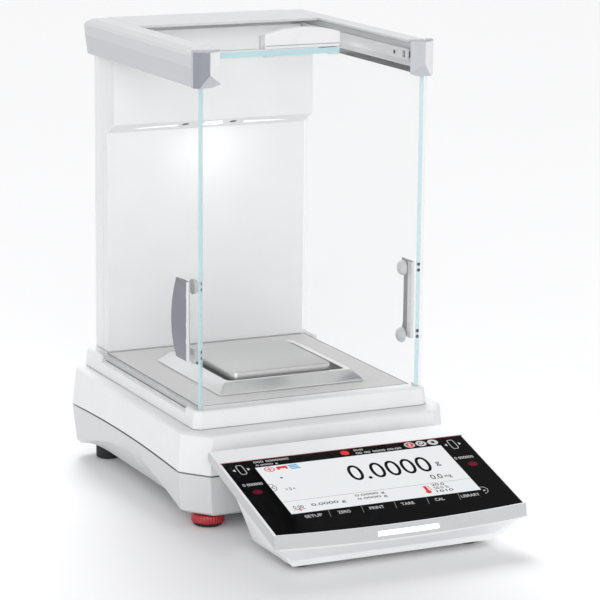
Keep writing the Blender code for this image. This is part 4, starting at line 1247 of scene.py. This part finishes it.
# Signs at the page's left edge
round_patch("mark_red", -69.0, 15.8, 4.2, 3.6)
round_patch("page", -69.0, 15.8, 3.3, 2.8, 0.12)
line_patch("mark_red", [(-69.0, 13.6), (-69.0, 18.0)], 0.9, 0.14)
line_patch("mark_red", [(-71.4, 15.8), (-66.6, 15.8)], 0.9, 0.14)
bar_patch("mark_red", -62.9, -54.3, 13.4, 17.8)
bar_patch("page", -61.0, -56.2, 16.6, 17.8, 0.12)
for row in range(3):
    shift, drop = 0.5 * row, 2.3 * row
    bar_patch("mark_blue", -53.4 + shift, -45.6 + shift, 12.8 + drop, 14.4 + drop, slant=0.4)
round_patch("ink", -65.0, 29.2, 1.1, 0.9)
line_patch("ink", [(-79.0, 35.6), (-75.8, 37.0), (-74.4, 40.8), (-75.8, 44.6), (-79.0, 46.2)], 0.5)
line_patch("ink", [(-76.4, 39.0), (-78.2, 40.8), (-76.4, 42.6)], 0.8)
fitted("ink", "> 0 <", -68.8, -61.0, 43.4, 47.2, weight=0.03)

# The row of small values below the rule
fitted("ink", "0.00", -74.0, -65.8, 68.6, 72.4)
line_patch("ink", [(-74.6, 73.8), (-65.2, 73.8)], 0.5)
bar_patch("mark_red", -70.3, -69.3, 72.4, 76.0, 0.12)
fitted("ink", "0.0000 g", -59.0, -31.0, 68.4, 72.6, weight=0.03)
for s in (64.0, 68.8):
    fitted("ink", "0.0000 g", -21.0, 3.4, s, s + 3.4, weight=0.03)
for i, value in enumerate(("20.0", "50.0 %", "1010")):
    fitted("ink", value, 43.8, 54.6 + 1.6 * i, 62.6 + 4.6 * i, 65.8 + 4.6 * i, weight=0.03)
round_patch("mark_red", 37.4, 72.8, 2.3, 2.0)
bar_patch("mark_red", 36.1, 38.7, 64.4, 72.0)
for row in range(3):
    bar_patch("mark_red", 39.6, 41.0, 65.0 + 2.4 * row, 66.0 + 2.4 * row)

# The band above the page, with three round signs
fitted("mark_white", "000 0000000", -77.0, -48.0, 2.6, 5.2)
fitted("mark_white", "0.0000 g", -77.0, -59.0, 7.4, 10.0)
fitted("mark_white", "00:00", 7.0, 15.0, 2.8, 5.0)
fitted("mark_white", "00 00 0000 00:00", 7.0, 46.0, 7.0, 9.6)
round_patch("mark_red", -1.2, 5.8, 3.6, 3.2)
for x in (54.6, 64.6, 74.8):
    round_patch("mark_white", x, 5.6, 4.4, 3.9)
round_patch("mark_red", 54.6, 5.6, 3.3, 2.9, 0.12)
bar_patch("mark_white", 53.8, 55.4, 3.8, 7.4, 0.16)
round_patch("ink", 64.6, 5.6, 2.6, 2.2, 0.12)
round_patch("mark_white", 64.6, 5.6, 1.7, 1.4, 0.16)
line_patch("mark_white", [(64.6, 5.6), (67.0, 3.0)], 0.9, 0.16)
round_patch("ink", 74.8, 5.6, 1.7, 1.5, 0.12)

# Key words below the page: word, middle x, width
KEYS = (("SETUP", -63.8, 14.0), ("ZERO", -38.8, 10.0), ("PRINT", -12.0, 12.0))
KEYS += (("TARE", 13.8, 10.5), ("CAL", 40.6, 7.6), ("LIBRARY", 66.8, 15.6))
for word, x, wide in KEYS:
    fitted("mark_white", word, x - wide / 2, x + wide / 2, 82.4, 86.0, weight=0.02)
for x in (-50.6, -23.6, 3.6, 30.8, 57.4):
    line_patch("mark_dim", [(x - 1.0, 88.4), (x + 1.0, 79.4)], 0.5)


def door_mark(x):
    """Rounded outline of a door with an arrow on either side."""
    outline = []
    for i in range(33):
        turn = 2 * math.pi * i / 32
        power = 0.45
        cx = math.copysign(abs(math.cos(turn)) ** power, math.cos(turn))
        cs = math.copysign(abs(math.sin(turn)) ** power, math.sin(turn))
        outline.append((x + 2.6 * cx, 12.0 + 6.4 * cs))
    line_patch("mark_white", outline, 0.5)
    for sign in (-1, 1):
        tip = x + sign * 7.2
        foot = x + sign * 5.0
        patch("mark_white", [(foot, 10.2), (tip, 12.0), (foot, 13.8)])


door_mark(-90.5)
door_mark(89.2)
for x, s in ((-91.1, 44.0), (91.0, 42.5)):
    round_patch("sensor", x, s, 3.9, 3.2, 0.03)
fitted("mark_white", "0 000000", -98.5, -82.5, 31.6, 35.0)
fitted("mark_white", "0 000000", 80.5, 96.5, 30.4, 33.8)
line_patch("mark_white", [(79.0, 75.2), (82.4, 75.6), (84.4, 78.8), (82.8, 83.0), (79.6, 84.4)], 0.4)
round_patch("mark_white", 80.8, 80.3, 0.9, 0.8)
finish_marks()


# ---- what stays from the frame


INNER_LOOKS = {
    "aluminium": ("chassis_plate", "load_cell_frame", "load_receiver", "balance_lever", "weight_carrier"),
    "dark_steel": ("magnet_pot", "calibration_motor", "left_door_motor", "right_door_motor"),
    "polished": ("left_calibration_weight", "right_calibration_weight"),
    "brass": ("lead_screw", "left_drive_pinion", "right_drive_pinion"),
    "copper": ("force_coil",),
    "board": ("main_board",),
}
for look, nodes in INNER_LOOKS.items():
    for node in nodes:
        mesh = frame["nodes"][node].data
        mesh.materials.clear()
        mesh.materials.append(LOOKS[look])


# ---- room, light and camera


def room():
    mesh = bpy.data.meshes.new("floor")
    half = 20.0
    corners = [(-half, -half, 0.0), (half, -half, 0.0), (half, half, 0.0), (-half, half, 0.0)]
    mesh.from_pydata(corners, [], [(0, 1, 2, 3)])
    made, _, _, shader = new_material("pale_floor")
    put(shader, {"Base Color": (0.92, 0.92, 0.93, 1.0), "Roughness": 0.7, "Specular IOR Level": 0.2})
    mesh.materials.append(made)
    add_object("floor", mesh)


def aimed(name, data, direction):
    """A light that shines along direction."""
    light = add_object(name, data)
    light.rotation_mode = "QUATERNION"
    light.rotation_quaternion = Vector(direction).to_track_quat("-Z", "Y")
    return light


def area_light(name, location, target, size, watts):
    data = bpy.data.lights.new(name, "AREA")
    data.shape = "RECTANGLE"
    data.size, data.size_y = size
    data.energy = watts
    light = aimed(name, data, Vector(target) - Vector(location))
    light.location = location
    return light


room()
SUN_DIRECTION = (-0.27, -0.95, -0.78)
sun = aimed("key", bpy.data.lights.new("key", "SUN"), SUN_DIRECTION)
sun.data.energy = 2.1
sun.data.angle = math.radians(24.0)
sun.visible_glossy = False
# Places and sizes of the lights are in metres
area_light("fill", (-1.3, -2.6, 1.2), (0.0, 0.0, 0.2), (1.6, 1.6), 28.0)
area_light("chamber_lamp", (0.0, 0.140, 0.268), (0.0, 0.163, 0.19), (0.05, 0.012), 0.0065)
soft_lamp = area_light("chamber_fill", (0.0, 0.02, 0.345), (0.0, 0.11, 0.1), (0.15, 0.08), 0.04)
soft_lamp.visible_camera = False
soft_lamp.visible_glossy = False


def studio():
    """White around the horizon, dimmer overhead."""
    world = bpy.data.worlds.new("studio")
    world.use_nodes = True
    nodes = world.node_tree.nodes
    links = world.node_tree.links
    place = nodes.new("ShaderNodeTexCoord")
    parts = nodes.new("ShaderNodeSeparateXYZ")
    links.new(place.outputs["Generated"], parts.inputs["Vector"])
    sky = ramped(nodes, links, parts.outputs["Z"], (0.18, (1.0, 1.0, 1.0)), (0.55, (0.55, 0.55, 0.55)))
    links.new(sky, nodes["Background"].inputs["Color"])
    put(nodes["Background"], {"Strength": 1.0})
    bpy.context.scene.world = world


studio()
bpy.context.scene.view_settings.view_transform = "Standard"
bpy.context.scene.cycles.transparent_max_bounces = 24

# In metres, with the direction from the object back to the camera
CAMERA_AT = Vector((-0.89805, -1.88811, 0.62213))
CAMERA_BACK = Vector((-0.42166, -0.88074, 0.21562)).normalized()
CAMERA_ROLL = math.radians(0.53)
camera_data = bpy.data.cameras.new("camera")
camera_data.lens = 163.35
camera_data.clip_end = 60.0
camera = add_object("camera", camera_data)
flat_right = Vector((-CAMERA_BACK.y, CAMERA_BACK.x, 0.0)).normalized()
flat_up = CAMERA_BACK.cross(flat_right)
right = flat_right * math.cos(CAMERA_ROLL) + flat_up * math.sin(CAMERA_ROLL)
up = flat_up * math.cos(CAMERA_ROLL) - flat_right * math.sin(CAMERA_ROLL)
turn = Matrix((right, up, CAMERA_BACK)).transposed()
camera.matrix_world = Matrix.Translation(CAMERA_AT) @ turn.to_4x4()
bpy.context.scene.camera = camera
